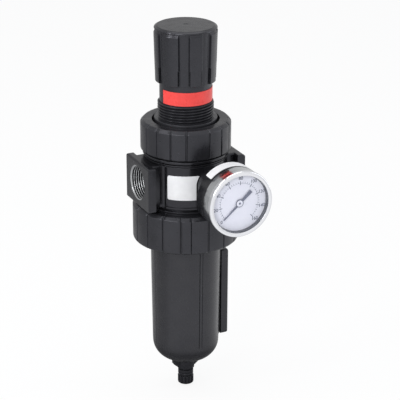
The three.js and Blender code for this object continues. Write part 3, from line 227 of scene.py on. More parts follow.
def roughened(tree, shader, pattern, low, high):
    """The roughness runs between two values with a pattern."""
    spread = add_node(tree, "MapRange", {
        "Value": pattern, "From Min": 0.35, "From Max": 0.65, "To Min": low, "To Max": high})
    tree.links.new(spread.outputs["Result"], shader.inputs["Roughness"])


def bumped(tree, shader, pattern, depth, strength=1.0):
    """Relief `depth` millimetres deep."""
    inputs = {"Height": pattern, "Distance": depth / 1000, "Strength": strength}
    tree.links.new(add_node(tree, "Bump", inputs).outputs["Normal"], shader.inputs["Normal"])


# Baked black paint on a casting: faint orange peel of about 1 mm and uneven gloss, a little cool where it
# shines.
black_paint, tree, shader = new_finish("baked_black_paint", "#19191b", 0.2, Specular_Tint=linear("#eff0fb"))
tinted(tree, shader, mottle(tree, 9, 3), "#171719", "#1d1d20")
roughened(tree, shader, mottle(tree, 4, 3), 0.16, 0.27)
bumped(tree, shader, mottle(tree, 0.9, 2), 0.02, 0.4)


def rounded(corners, closed=True, steps=4):
    """Corners (x, y), with an optional fillet radius and tag, as outline points (x, y, tag)."""
    points = []
    for i, corner in enumerate(corners):
        fillet = corner[2] if len(corner) > 2 else 0
        tag = corner[3] if len(corner) > 3 else ""
        if not fillet or (not closed and i in (0, len(corners) - 1)):
            points.append((corner[0], corner[1], tag))
            continue
        here = Vector(corner[:2])
        back = Vector(corners[i - 1][:2]) - here
        ahead = Vector(corners[(i + 1) % len(corners)][:2]) - here
        half = back.angle(ahead) / 2
        reach = min(fillet / tan(half), 0.48 * back.length, 0.48 * ahead.length)
        centre = here + (back.normalized() + ahead.normalized()).normalized() * (reach / cos(half))
        first = here + back.normalized() * reach - centre
        last = here + ahead.normalized() * reach - centre
        sweep = (atan2(last.y, last.x) - atan2(first.y, first.x) + pi) % (2 * pi) - pi
        for step in range(steps + 1):
            angle = atan2(first.y, first.x) + sweep * step / steps
            points.append((centre.x + first.length * cos(angle), centre.y + first.length * sin(angle), tag))
    return points


def arc(radius, angles):
    """Points on a circle, at angles in degrees from the X axis."""
    return [(radius * cos(radians(angle)), radius * sin(radians(angle))) for angle in angles]


def around(count):
    """Angles of a full turn, in degrees from the front towards the outlet."""
    return [step * 360 / count for step in range(count)]


def turned(outline, angles, radius_at=None):
    """A closed outline of (radius, height, tag) points, turned about Z; radius_at may change a radius."""
    mesh = bmesh.new()
    rings = []
    for radius, height, tag in outline:
        if radius < 1e-6:
            rings.append([mesh.verts.new((0, 0, height))])
            continue
        ring = []
        for angle in angles:
            reach = radius_at(radius, height, tag, angle) if radius_at else radius
            ring.append(mesh.verts.new((reach * sin(radians(angle)), -reach * cos(radians(angle)), height)))
        rings.append(ring)
    for lower, upper in zip(rings, rings[1:] + rings[:1]):
        if len(lower) == len(upper) == 1:
            continue
        for i in range(len(angles)):
            k = (i + 1) % len(angles)
            corners = [
                lower[i % len(lower)], lower[k % len(lower)], upper[k % len(upper)], upper[i % len(upper)]]
            mesh.faces.new([corner for j, corner in enumerate(corners) if corner not in corners[:j]])
    bmesh.ops.recalc_face_normals(mesh, faces=mesh.faces[:])
    return mesh


def rod(radius, low, high, count):
    """A plain round rod on the Z axis, for drilling."""
    return turned([(0, low, ""), (radius, low, ""), (radius, high, ""), (0, high, "")], around(count))


def prism(outline, low, high):
    """A flat outline of (x, y) points, raised from one height to another."""
    mesh = bmesh.new()
    bottom = [mesh.verts.new((point[0], point[1], low)) for point in outline]
    top = [mesh.verts.new((point[0], point[1], high)) for point in outline]
    mesh.faces.new(bottom)
    mesh.faces.new(top)
    for i in range(len(outline)):
        k = (i + 1) % len(outline)
        mesh.faces.new((bottom[i], bottom[k], top[k], top[i]))
    bmesh.ops.recalc_face_normals(mesh, faces=mesh.faces[:])
    return mesh


def eased(mesh, height, width, segments):
    """Rounds the edges that lie at one height."""
    edges = [edge for edge in mesh.edges if all(abs(corner.co.z - height) < 0.01 for corner in edge.verts)]
    bmesh.ops.bevel(mesh, geom=edges, offset=width, segments=segments, affect="EDGES", profile=0.5)
    return mesh


def moved(mesh, *matrices):
    """The mesh, moved by each matrix in turn."""
    for matrix in matrices:
        bmesh.ops.transform(mesh, matrix=matrix, verts=mesh.verts[:])
    return mesh


def shift(x, y, z):
    return Matrix.Translation((x, y, z))


def turn(angle, axis):
    return Matrix.Rotation(radians(angle), 4, axis)


def combined(first, second, operation):
    """Two closed meshes, joined (UNION) or cut (DIFFERENCE)."""
    holders = []
    for mesh in (first, second):
        data = bpy.data.meshes.new("tool")
        mesh.to_mesh(data)
        mesh.free()
        holders.append(bpy.data.objects.new("tool", data))
        bpy.context.collection.objects.link(holders[-1])
    modifier = holders[0].modifiers.new("combine", "BOOLEAN")
    modifier.object = holders[1]
    modifier.operation = operation
    modifier.solver = "EXACT"
    seen = holders[0].evaluated_get(bpy.context.evaluated_depsgraph_get())
    result = bmesh.new()
    result.from_mesh(seen.to_mesh())
    seen.to_mesh_clear()
    for holder in holders:
        data = holder.data
        bpy.data.objects.remove(holder)
        bpy.data.meshes.remove(data)
    return result


def place(name, mesh, material, body, replaced=(), crisp=38, bevel=0):
    """A shown piece, made of a mesh in millimetres; edges over `crisp` degrees stay crisp or get a bevel."""
    bmesh.ops.scale(mesh, vec=(0.001, 0.001, 0.001), verts=mesh.verts[:])
    for face in mesh.faces:
        face.smooth = True
    for edge in mesh.edges:
        edge.smooth = not edge.is_manifold or edge.calc_face_angle(0) < radians(crisp)
    data = bpy.data.meshes.new(name)
    mesh.to_mesh(data)
    mesh.free()
    data.materials.append(material)
    made = bpy.data.objects.new(name, data)
    bpy.context.collection.objects.link(made)
    if bevel:
        round_edges = made.modifiers.new("edges", "BEVEL")
        round_edges.width = bevel / 1000
        round_edges.segments = 2
        round_edges.limit_method = "ANGLE"
        round_edges.angle_limit = radians(crisp)
        shading = made.modifiers.new("shading", "WEIGHTED_NORMAL")
        shading.keep_sharp = False
    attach(made, body)
    if replaced:
        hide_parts(*replaced)
    return made


# Round middle and skirt, with the rim lines of the casting.
body_outer = rounded([
    (0, -42.3), (36.5, -42.3, 0.6), (36.5, -21.2, 0.5), (34.4, -20.6, 0.2), (33.4, -20.6), (33.4, -18.6, 0.3),
    (30.6, -18.5), (30.6, -17.3), (32, -17.2, 0.3), (32, 17.1, 0.3), (31.2, 17.2), (31.2, 17.9),
    (32.4, 18, 0.2), (32.4, 18.8, 0.2), (30, 18.9), (30, 19.8), (33.2, 19.9, 0.3), (33.2, 21.9, 0.4),
    (31.1, 22), (31.1, 23.5), (31.9, 23.6), (31.9, 33.7, 0.5), (0, 33.7)])
casting = turned(body_outer, around(144))

# Port blocks: a quarter of their plan, from the clamp groove to the port face, mirrored both ways.
block_bottom = -18.3
block_top = 17.2
block_quarter = [(34.4, 14.5), (34.4, 21), (40.8, 21)]
block_half = block_quarter + [(x, -y) for x, y in reversed(block_quarter)]
blocks = prism(block_half + [(-x, y) for x, y in reversed(block_half)], block_bottom, block_top)
eased(blocks, block_top, 1.7, 4)
eased(blocks, block_bottom, 0.8, 4)
casting = combined(casting, blocks, "UNION")

# Label panel, sunk in the front left, with a sloping left side.
panel_front = 33
panel_back = 31.2
panel_angles = [-51.6 + step * 4 for step in range(14)]
panel_plan = []
for angle in (-54, *panel_angles[1:]):
    panel_plan.append((panel_front * sin(radians(angle)), -panel_front * cos(radians(angle))))
for angle in reversed(panel_angles):
    panel_plan.append((panel_back * sin(radians(angle)), -panel_back * cos(radians(angle))))
casting = combined(casting, prism(panel_plan, -15.6, 16.4), "DIFFERENCE")

# The round middle is cut back beside each clamp groove.
relief_half_height = 16.9
relief_corner = [(34.38, 36), (34.38, 14.52), (28.6, 14.52), (25.6, 17), (25.6, 36)]
for x_side in (1, -1):
    for y_side in (1, -1):
        relief_plan = [(x * x_side, y * y_side) for x, y in relief_corner]
        relief = prism(relief_plan, -relief_half_height, relief_half_height)
        casting = combined(casting, relief, "DIFFERENCE")

# The gauge boss is round above and straight-sided below, with a rounded face; the rear boss is round.
gauge_offset = 8.6
gauge_height = 2
gauge_place = (turn(90, "X"), shift(gauge_offset, 0, gauge_height))
rear_place = (turn(-90, "X"), shift(0, 0, gauge_height))
boss_radius = 13.5
boss_foot = -20.3
boss_face = 46
boss_plan = [(boss_radius, boss_foot), *arc(boss_radius, range(0, 181, 6)), (-boss_radius, boss_foot)]
boss = eased(prism(boss_plan, 0, boss_face), boss_face, 1.2, 3)
casting = combined(casting, moved(boss, *gauge_place), "UNION")
rear_boss = turned(rounded([(0, 0), (9.5, 0), (9.5, 35, 0.6), (0, 35)]), around(48))
casting = combined(casting, moved(rear_boss, *rear_place), "UNION")

# Inside: the chambers for the bowl, the valve and the diaphragm.
body_inner = rounded([
    (0, -43.3), (33.1, -43.3), (33.1, -24), (13.5, -24), (13.5, -4), (8.5, -4), (8.5, 6), (12, 6), (12, 27.7),
    (26, 27.7), (26, 34.7), (0, 34.7)])
casting = combined(casting, turned(body_inner, around(96)), "DIFFERENCE")

# Drilled: both ports, the two gauge ports, and the airways from the inlet and to the outlet.
port_sleeve_radius = 13.7
gauge_port_radius = 6.6
airway_radius = 5
drillings = [
    moved(rod(port_sleeve_radius, 20.5, 42, 72), turn(90, "Y")),
    moved(rod(port_sleeve_radius, 20.5, 42, 72), turn(-90, "Y")),
    moved(rod(gauge_port_radius, 34, 47, 32), *gauge_place),
    moved(rod(gauge_port_radius, 23, 36, 32), *rear_place),
    moved(rod(airway_radius, -25, 0, 24), shift(-25.8, 0, 0)),
    moved(rod(airway_radius, 11, 21.5, 24), turn(90, "Y"), shift(0, 0, 11.4)),
]
for drilling in drillings:
    casting = combined(casting, drilling, "DIFFERENCE")
place("body_casting", casting, black_paint, "housing", ["body"], bevel=0.45)

# ---- Port threads --------------------------------------------------
# Bare machined metal in each painted port block: a chamfered mouth, and a pipe thread of 14 turns to the inch
# that tapers inwards.

port_pitch = 1.814
port_thread_depth = 1.0
port_crest = 11.8
port_inner_end = 20.6
port_row = 0.15
port_taper = 1 / 32


def from_axis(tree, first, second):
    """A point's places along X, Y and Z, and its distance from the axis that is square to the two named."""
    along = add_node(tree, "SeparateXYZ", {"Vector": add_node(tree, "TexCoord").outputs["Object"]}).outputs
    across = add_node(tree, "CombineXYZ", {first: along[first], second: along[second]}).outputs["Vector"]
    return along, add_node(tree, "VectorMath", {0: across}, operation="LENGTH").outputs["Value"]


def brightest(tree, bands):
    """The highest of several bands, each (reading, start, end, level up to the start, level past the end)."""
    highest = None
    for reading, start, end, first, last in bands:
        band = add_node(tree, "MapRange", {
            "Value": reading, "From Min": start, "From Max": end, "To Min": first, "To Max": last})
        inputs = {0: highest, 1: band.outputs["Result"]}
        highest = add_node(tree, "Math", inputs, operation="MAXIMUM").outputs[0] if highest else inputs[1]
    return highest


# Freshly cut metal, bright on the crests of the thread and round the mouth, and painted dark grey in
# the roots: painted shade, with some cutting residue.
cut_metal, tree, shader = new_finish("cut_metal", "#b4b6b9", 0.3, 1.0)
along, distance = from_axis(tree, "Y", "Z")
depth_in = add_node(tree, "Math", {0: along["X"]}, operation="ABSOLUTE").outputs[0]
crest_radius = add_node(tree, "MapRange", {
    "Value": depth_in, "From Min": 0.0208, "From Max": 0.04,
    "To Min": 0.0118, "To Max": 0.0124}).outputs["Result"]
under_crest = add_node(tree, "Math", {0: distance, 1: crest_radius}, operation="SUBTRACT").outputs[0]
crest = (under_crest, 0.0002, 0.0007, 1, 0)
mouth = (depth_in, 0.0399, 0.0401, 0, 1)
tinted(tree, shader, brightest(tree, [crest, mouth]), "#3c3d3f", "#c9cbcd")
roughened(tree, shader, mottle(tree, 3, 2), 0.26, 0.34)
bumped(tree, shader, mottle(tree, 2, 1), 0.01, 0.3)


def thread_depth(height, angle, pitch, depth):
    """How far a thread's surface lies under its crest."""
    phase = (height / pitch - angle / 360) % 1
    ramp = abs(phase - 0.5) * 2
    return depth * min(1, max(0, (ramp - 0.22) / 0.56))


def sleeve_radius(radius, height, tag, angle):
    return radius + thread_depth(height, angle, port_pitch, port_thread_depth) if tag == "thread" else radius


port_rows = []
for step in range(128):
    rise = step * port_row
    port_rows.append((port_crest + rise * port_taper, 20.8 + rise, 0, "thread"))
port_sleeve = rounded([
    (port_crest, port_inner_end), *port_rows, (12.95, 40.1), (13.65, 40.78, 0.1), (port_sleeve_radius, 40.7),
    (port_sleeve_radius, port_inner_end)])
for side, name in ((-1, "inlet_thread"), (1, "outlet_thread")):
    sleeve = moved(turned(port_sleeve, around(144), sleeve_radius), turn(90 * side, "Y"))
    place(name, sleeve, cut_metal, "housing", crisp=60)

# ---- Clamp rings ---------------------------------------------------
# Moulded glass-filled plastic with upright grip grooves. The bonnet ring screws down over the bonnet's
# flange, and the bowl ring screws up round the body's skirt and carries the bowl.

bonnet_ring_radius = 34.85
bowl_ring_radius = 41.45
grip_depth = 0.9
grip_half_width = 0.6
line_half_width = 0.15
groove_lip = 0.3


def satin_moulding(name, low=0.26, high=0.36):
    """Satin black moulding: a soft change of gloss from its flow lines, and a fine mould grain.

    The real grain is about 0.1 mm; it is drawn at 0.45 mm, so that it shows.
    """
    material, tree, shader = new_finish(name, "#222225", 0.3, Specular_Tint=linear("#eff0fb"))
    tinted(tree, shader, mottle(tree, 14, 2), "#202023", "#262629")
    roughened(tree, shader, mottle(tree, 6, 4), low, high)
    bumped(tree, shader, mottle(tree, 0.45, 2), 0.012, 0.4)
    return material, tree, shader


black_plastic, _, _ = satin_moulding("satin_black_plastic")


def groove_angles(grooves, count=96):
    """Angles of a full turn, with close columns at the walls of each groove (centre, half width, radius)."""
    angles = []
    for centre, half, radius in grooves:
        for edge in (-1, 1):
            for step in (groove_lip, 0.18, 0.06, -0.06, -0.18, -groove_lip):
                angles.append((centre + edge * degrees((half + step) / radius)) % 360)
        angles.append(centre % 360)
    walls = list(angles)
    for angle in around(count):
        if all(abs((angle - wall + 180) % 360 - 180) > 0.6 for wall in walls):
            angles.append(angle)
    return sorted(angles)


def groove_share(angle, grooves):
    """0 between the grooves, 1 on a groove's floor, with rounded lips."""
    share = 0
    for centre, half, radius in grooves:
        across = abs(radians((angle - centre + 180) % 360 - 180)) * radius - half
        if across < groove_lip:
            slope = min(1, max(0, (groove_lip - across) / (2 * groove_lip)))
            share = max(share, slope * slope * (3 - 2 * slope))
    return share


def gripped_ring(outline, radius, first, lines=()):
    """A ring with four groups of four grooves, and fine lines at given angles, in its side tagged grip."""
    grooves = []
    for group in range(4):
        grooves += [(first + 90 * group + step, grip_half_width, radius) for step in (0, 30, 50, 70)]
    grooves += [(angle, line_half_width, radius) for angle in lines]
    share_at = {angle: groove_share(angle, grooves) for angle in groove_angles(grooves)}

    def radius_at(r, height, tag, angle):
        return r - grip_depth * share_at[angle] if tag == "grip" else r

    return turned(outline, list(share_at), radius_at)


bonnet_ring = rounded([
    (32.2, 23.8, 0.2), (bonnet_ring_radius, 23.8, 0.35, "grip"), (bonnet_ring_radius, 44.2, 1.2, "grip"),
    (32.5, 46.5, 0.7, "grip"), (25.9, 46.5, 0.5), (25.9, 41.5, 0.2), (32.2, 41.5)])
place("bonnet_clamp_ring", gripped_ring(bonnet_ring, bonnet_ring_radius, -23.8), black_plastic, "housing",
      ["bonnet_ring"])

# The bowl ring's one fine line is the parting line of its mould.
bowl_ring = rounded([
    (28.4, -50.5, 0.4), (bowl_ring_radius, -50.5, 2.2, "grip"), (bowl_ring_radius, -22.8, 0.9, "grip"),
    (38.9, -20.7, 0.5, "grip"), (36.8, -20.7, 0.4), (36.8, -47), (28.4, -47)], steps=5)
place("bowl_clamp_ring", gripped_ring(bowl_ring, bowl_ring_radius, -29.9, [341]), black_plastic, "ring",
      ["bowl_ring"])

# ---- Bonnet --------------------------------------------------------
# One plastic moulding: flange under the clamp ring, collar, threaded sleeve for a panel nut, and a neck whose
# top has the slots that lock the knob. Inside run the keyways of the spring nut.

neck_radius = 20
neck_slot_depth = 0.95
keyway_radius = 16.4
keyway_depth = 1.95
panel_thread_radius = 21.5
panel_thread_pitch = 2.2
panel_thread_depth = 1.25
neck_slots = [(30 * step, neck_radius * radians(7.5), neck_radius) for step in range(12)]
keyways = [(0, 2.3, keyway_radius), (180, 2.3, keyway_radius)]
bonnet_share = {}
for angle in groove_angles(neck_slots + keyways):
    bonnet_share[angle] = (groove_share(angle, neck_slots), groove_share(angle, keyways))


def bonnet_radius(radius, height, tag, angle):
    """The neck's slots, the keyways, and the panel thread, which fades in below and slopes off on top."""
    slot, key = bonnet_share[angle]
    if tag == "slot":
        return radius - neck_slot_depth * slot
    if tag == "key":
        return radius + keyway_depth * key
    if tag == "thread":
        fade = min(1, (height - 48.3) / 0.6)
        slope = max(0, height - 60.5)
        cut = thread_depth(height - 0.4, angle, panel_thread_pitch, panel_thread_depth)
        return min(panel_thread_radius - fade * cut, panel_thread_radius - slope)
    return radius


panel_rows = [(panel_thread_radius, 48.4 + step * 0.13, 0, "thread") for step in range(104)]
bonnet = rounded([
    (22.6, 34.7), (31.9, 34.7, 0.2), (31.9, 41.2, 0.3), (24.2, 41.2, 0.2), (24.2, 48.1, 0.4),
    (21.0, 48.1, 0.2), *panel_rows, (neck_radius, 62.05), (neck_radius, 91.4),
    (neck_radius, 91.55, 0, "slot"), (neck_radius, 95.6, 0, "slot"), (19.6, 96, 0, "slot"), (14, 96, 0.3),
    (14, 84.1), (5.3, 84.1), (5.3, 79.7), (keyway_radius, 79.7, 0, "key"), (keyway_radius, 41.6, 0, "key"),
    (keyway_radius, 41.5), (22.6, 41.5)])

# The same satin moulding; below the neck its reflection is turned down near the axis: painted shade in
# the roots of the panel thread.
threaded_plastic, tree, shader = satin_moulding("threaded_plastic")
along, distance = from_axis(tree, "X", "Y")
crest = (distance, 0.0206, 0.0213, 0.02, 0.5)
above = (along["Z"], 0.0615, 0.062, 0, 0.5)
tree.links.new(brightest(tree, [crest, above]), shader.inputs["Specular IOR Level"])
place("bonnet_shell", turned(bonnet, list(bonnet_share), bonnet_radius), threaded_plastic, "housing",
      ["bonnet"])

# Red film, wrapped round the neck and stuck: printed in one colour, glossy, with a faint mottle.
red_film, tree, shader = new_finish("red_film", "#f0433e", 0.32)
tinted(tree, shader, mottle(tree, 5, 3), "#ea3f3a", "#f54843")
roughened(tree, shader, mottle(tree, 3, 2), 0.26, 0.4)
bumped(tree, shader, mottle(tree, 6, 1), 0.04, 0.3)


def wrapped(inner, outer, low, high, start, end, corner, steps=64):
    """A film wrapped round the Z axis between two angles, with rounded corners."""
    mesh = bmesh.new()
    middle = (low + high) / 2
    columns = []
    for step in range(steps + 1):
        angle = radians(start + (end - start) * (1 - cos(pi * step / steps)) / 2)
        inset = min(angle - radians(start), radians(end) - angle) * outer
        rise = (high - low) / 2
        if inset < corner:
            rise += (corner ** 2 - (corner - inset) ** 2) ** 0.5 - corner
        column = []
        for radius, level in ((inner, -1), (outer, -1), (outer, 0), (outer, 1), (inner, 1), (inner, 0)):
            column.append(mesh.verts.new((radius * sin(angle), -radius * cos(angle), middle + rise * level)))
        columns.append(column)
    for left, right in zip(columns, columns[1:]):
        for i in range(6):
            k = (i + 1) % 6
            mesh.faces.new((left[i], left[k], right[k], right[i]))
    mesh.faces.new(columns[0])
    mesh.faces.new(columns[-1])
    bmesh.ops.recalc_face_normals(mesh, faces=mesh.faces[:])
    return mesh


neck_film = wrapped(20.1, 20.4, low=61.95, high=72.4, start=-81, end=130, corner=0.3)
place("neck_film", neck_film, red_film, "housing", ["neck_band"], crisp=50)

# ---- Knob ----------------------------------------------------------
# Push-to-lock knob, one plastic moulding: eight flutes under a turned-in cap edge, a skirt slotted into
# fingers, inner teeth that drop into the neck's slots, and a hub that drives the screw's hexagon.

knob_bottom = 77.3
knob_top = 119.7
knob_height = 42.4
knob_bore = 20.6
crown_inside = 116.1
knob_shoulder = 24.3
flute_floor = 21.4
flute_half_width = 4.25
flute_wall = 1.7
tooth_depth = 1.2
knob_flutes = [(17 + 45 * step, flute_half_width, knob_shoulder) for step in range(8)]
knob_teeth = [(30 * step, neck_radius * radians(3.9), neck_radius) for step in range(12)]


def flute_share(angle):
    """0 between the flutes, 1 on a flute's floor, which curves up into its walls."""
    share = 0
    for centre, half, radius in knob_flutes:
        inside = half + 0.2 - abs(radians((angle - centre + 180) % 360 - 180)) * radius
        if inside > 0:
            share = max(share, 1 - max(0, 1 - inside / flute_wall) ** 2.8)
    return share


knob_share = {}
for angle in groove_angles(knob_flutes + knob_teeth, 240):
    knob_share[angle] = (flute_share(angle), groove_share(angle, knob_teeth))


def knob_radius(radius, height, tag, angle):
    """The flutes, whose floor leans out by 1 mm over the knob's height, and the teeth."""
    flute, tooth = knob_share[angle]
    if tag == "side":
        floor_radius = flute_floor + (height - knob_bottom) / knob_height
        return radius - flute * max(0, radius - floor_radius)
    if tag == "tooth":
        return radius - tooth_depth * tooth
    return radius


# The close points on the flat top keep its shading flat beside the rim and round the dimple in its middle.
knob = rounded([
    (knob_bore, knob_bottom, 0.3), (23.3, knob_bottom, 0.5, "side"), (knob_shoulder, 115.2, 0.5, "side"),
    (23.3, 117.3, 0.3, "side"), (23.2, 117.4), (23.2, 117.6), (24.0, 117.8, 0.2), (23.6, 118.7, 0.8),
    (21.7, knob_top, 0.9), (20.6, knob_top), (2.7, knob_top), (2.2, knob_top), (2.0, 119.55), (0, 119.55),
    (0, crown_inside), (knob_bore, crown_inside), (knob_bore, 100), (knob_bore, 99.9, 0, "tooth"),
    (knob_bore, 96.3, 0, "tooth"), (knob_bore, 96.2)])
knob_mesh = turned(knob, list(knob_share), knob_radius)
hub = turned(rounded([(0, 93.9), (8.8, 93.9, 0.3), (8.8, 117.2), (0, 117.2)]), around(48))
knob_mesh = combined(knob_mesh, hub, "UNION")
hexagon_width = 12.6
hexagon = prism(arc(hexagon_width / 3 ** 0.5, range(0, 360, 60)), 92, crown_inside)
knob_mesh = combined(knob_mesh, hexagon, "DIFFERENCE")


def box(x0, x1, y0, y1, z0, z1, fillet=0):
    """A box, with its upright corners rounded."""
    corners = [(x0, y0, fillet), (x1, y0, fillet), (x1, y1, fillet), (x0, y1, fillet)]
    return prism(rounded(corners), z0, z1)


def merged(*meshes):
    """Several meshes in one, not joined where they touch."""
    whole = bmesh.new()
    for mesh in meshes:
        data = bpy.data.meshes.new("part")
        mesh.to_mesh(data)
        mesh.free()
        whole.from_mesh(data)
        bpy.data.meshes.remove(data)
    return whole


# The slots in the skirt, one on either side of each flute.
slot_half_width = 0.65
slot_offset = 10.1
skirt_slots = []
for centre, _, _ in knob_flutes:
    for side in (-1, 1):
        slot = box(-slot_half_width, slot_half_width, -25.5, -19.6, 76, 89.8)
        skirt_slots.append(moved(slot, turn(centre + side * slot_offset, "Z")))
knob_mesh = combined(knob_mesh, merged(*skirt_slots), "DIFFERENCE")

# The same satin moulding, glossier from handling. It reflects fully on the lands, the flute floors and
# the cap edge; on the steep flute walls and on the flat top its reflection is turned down, a painted shade.
fluted_plastic, tree, shader = satin_moulding("fluted_plastic", 0.2, 0.3)
along, distance = from_axis(tree, "X", "Y")
lean = add_node(tree, "MapRange", {
    "Value": along["Z"], "From Min": 0.0773, "From Max": 0.1152,
    "To Min": 0, "To Max": 0.0011}).outputs["Result"]
upright = add_node(tree, "Math", {0: distance, 1: lean}, operation="SUBTRACT").outputs[0]
land = (upright, 0.02275, 0.02305, 0.04, 0.5)
floor = (upright, 0.0214, 0.0217, 0.5, 0.04)
edge = (along["Z"], 0.1140, 0.1165, 0, 0.5)
# Painted shade on the flat top: its reflection is turned down there.
painted_top_shade = add_node(tree, "MapRange", {
    "Value": along["Z"], "From Min": 0.1192, "From Max": 0.1196,
    "To Min": 0, "To Max": -0.25}).outputs["Result"]
reflection_level = brightest(tree, [land, floor, edge])
reflection_level = add_node(tree, "Math", {0: reflection_level, 1: painted_top_shade}, operation="ADD").outputs[0]
tree.links.new(reflection_level, shader.inputs["Specular IOR Level"])
place("adjusting_knob", knob_mesh, fluted_plastic, "knob", ["knob"])

# ---- Nameplate -----------------------------------------------------
# White vinyl film, cut with rounded corners and stuck in the recessed panel; its lower right side is trimmed
# round the gauge boss.

# Matt white film, very slightly uneven.
white_film, tree, shader = new_finish("white_film", "#ebebec", 0.45)
tinted(tree, shader, mottle(tree, 7, 2), "#e7e7e8", "#efeff0")
roughened(tree, shader, mottle(tree, 3, 2), 0.4, 0.52)
bumped(tree, shader, mottle(tree, 5, 1), 0.03, 0.3)

trim_radius = 14.1
trim_plan = [(trim_radius, -20), *arc(trim_radius, range(0, 181, 6)), (-trim_radius, -20)]
trim = moved(prism(trim_plan, 10, 45), *gauge_place)
label = wrapped(31.3, 31.55, low=-9.3, high=10.2, start=-51, end=-5, corner=1.6)
label = combined(label, trim, "DIFFERENCE")
place("label_film", label, white_film, "housing", ["nameplate"], crisp=50)

# ---- Bowl ----------------------------------------------------------
# Deep-drawn metal bowl under a satin black coat: tapered wall, three fine upright seams, domed end with the
# drain boss, and the pad of the sight gauge. It hangs in the bowl ring by its flange.

# Black coat of the bowl, a little greyer and more even than the casting's.
bowl_paint, tree, shader = new_finish("satin_bowl_coat", "#242427", 0.23, Specular_Tint=linear("#f2f2fb"))
tinted(tree, shader, mottle(tree, 9, 3), "#222225", "#272729")
roughened(tree, shader, mottle(tree, 4, 3), 0.2, 0.28)
bumped(tree, shader, mottle(tree, 0.9, 2), 0.015, 0.4)

seam_depth = 0.6
seam_radius = 27
bowl_seams = [(359.2, 0.2, seam_radius), (4.4, 0.12, seam_radius), (274, 0.3, seam_radius)]
bowl_share = {angle: groove_share(angle, bowl_seams) for angle in groove_angles(bowl_seams)}


def bowl_radius(radius, height, tag, angle):
    return radius - seam_depth * bowl_share[angle] if tag == "seam" else radius


dome_arc = [(11 + 15.5 * cos(radians(a)), -141 - 15.5 * sin(radians(a))) for a in range(6, 67, 6)]
bowl = rounded([
    (32.8, -34.2, 0.6), (32.8, -37.1, 0.15), (30.2, -37.1), (30.2, -39.7), (32.8, -39.7, 0.15),
    (32.8, -42.6, 0.3), (36.5, -42.6, 0.5), (36.5, -47, 0.3), (27.7, -47, 0.2), (27.72, -50.2, 0, "seam"),
    (26.6, -138, 0, "seam"), (26.5, -141), *dome_arc, (12, -157.3), (7.5, -158.2, 0.8), (7.4, -160, 0.4),
    (4.5, -160), (4.5, -154.9), (7.4, -154.9), (7.6, -155.6, 0.3), (14, -154), (20.5, -148), (24.1, -141),
    (25.3, -47), (25.3, -34.2, 0.3)])
bowl_mesh = turned(bowl, list(bowl_share), bowl_radius)
pad = box(22, 27.6, -5, 5, -141.7, -67.2)
bowl_mesh = combined(bowl_mesh, pad, "UNION")
hollow = turned(rounded([(0, -30), (25.3, -47), (24.1, -141), (0, -150)]), around(64))
bowl_mesh = combined(bowl_mesh, hollow, "DIFFERENCE")

# The upright window of the sight gauge, and the holes of its two screws.
window_width = 4
window_length = 48
window_middle = -104.45
window_bottom = window_middle - window_length / 2
window_top = window_middle + window_length / 2
window = box(10, 29, -window_width / 2, window_width / 2, window_bottom, window_top)
bowl_mesh = combined(bowl_mesh, window, "DIFFERENCE")
screw_heights = {"top": -74.7, "bottom": -134.2}
screw_hole_radius = 2


def drilled(mesh, low, high):
    """The mesh with its two screw holes; low and high are distances from the bowl's axis."""
    for height in screw_heights.values():
        hole = moved(rod(screw_hole_radius, low, high, 20), turn(90, "Y"), shift(0, 0, height))
        mesh = combined(mesh, hole, "DIFFERENCE")
    return mesh


bowl_mesh = drilled(bowl_mesh, 26.4, 29)
place("filter_bowl", bowl_mesh, bowl_paint, "bowl", ["bowl"], bevel=0.25)

# ---- Sight gauge ---------------------------------------------------
# A metal guard bar in the bowl's coat over a clear acrylic reading strip and its rubber gasket, held on the
# bowl's pad by two slotted screws.


def strip(width, length, low, high, corner, fillet=0):
    """An upright bar on the outlet side; low and high are distances from the axis."""
    x = length / 2
    y = width / 2
    plan = rounded([(-x, -y, corner), (x, -y, corner), (x, y, corner), (-x, y, corner)], steps=6)
    bar = prism(plan, low, high)
    if fillet:
        eased(bar, high, fillet, 3)
    return moved(bar, turn(90, "Y"), shift(0, 0, window_middle))


guard = combined(strip(13, 74.5, 28.6, 34.9, 2.2, 1.2), strip(7, 54, 27.4, 31.9, 3.4), "DIFFERENCE")
guard = combined(guard, strip(window_width, window_length, 28.4, 36, 1.9), "DIFFERENCE")
guard = drilled(guard, 27, 36)
place("sight_guard_bar", guard, bowl_paint, "bowl", ["sight_guard"], bevel=0.25)

# Clear moulded acrylic: sees through, with a thin hard gloss.
clear_plastic = bpy.data.materials.new("clear_acrylic")
clear_plastic.use_nodes = True
tree = clear_plastic.node_tree
tree.nodes.clear()
smudge = add_node(tree, "MapRange", {
    "Value": mottle(tree, 8, 3), "From Min": 0.35, "From Max": 0.65, "To Min": 0.02, "To Max": 0.07})
gloss = add_node(tree, "BsdfGlossy", {"Color": (1, 1, 1, 1), "Roughness": smudge.outputs["Result"]})
through = add_node(tree, "BsdfTransparent", {"Color": linear("#fdfdff")})
facing = add_node(tree, "LayerWeight", {"Blend": 0.5}).outputs["Facing"]
grazing = add_node(tree, "Math", {0: facing, 1: 4}, operation="POWER").outputs[0]
mirrored = add_node(tree, "MapRange", {
    "Value": grazing, "From Min": 0, "From Max": 1, "To Min": 0.03, "To Max": 0.6}).outputs["Result"]
lens_mix = add_node(tree, "MixShader", {"Fac": mirrored, 1: through.outputs[0], 2: gloss.outputs[0]})
add_node(tree, "OutputMaterial", {"Surface": lens_mix.outputs[0]})
reading_strip = strip(6, 53, 28.6, 31.6, 2.9, 0.4)
place("reading_strip", reading_strip, clear_plastic, "bowl", ["sight_lens"])

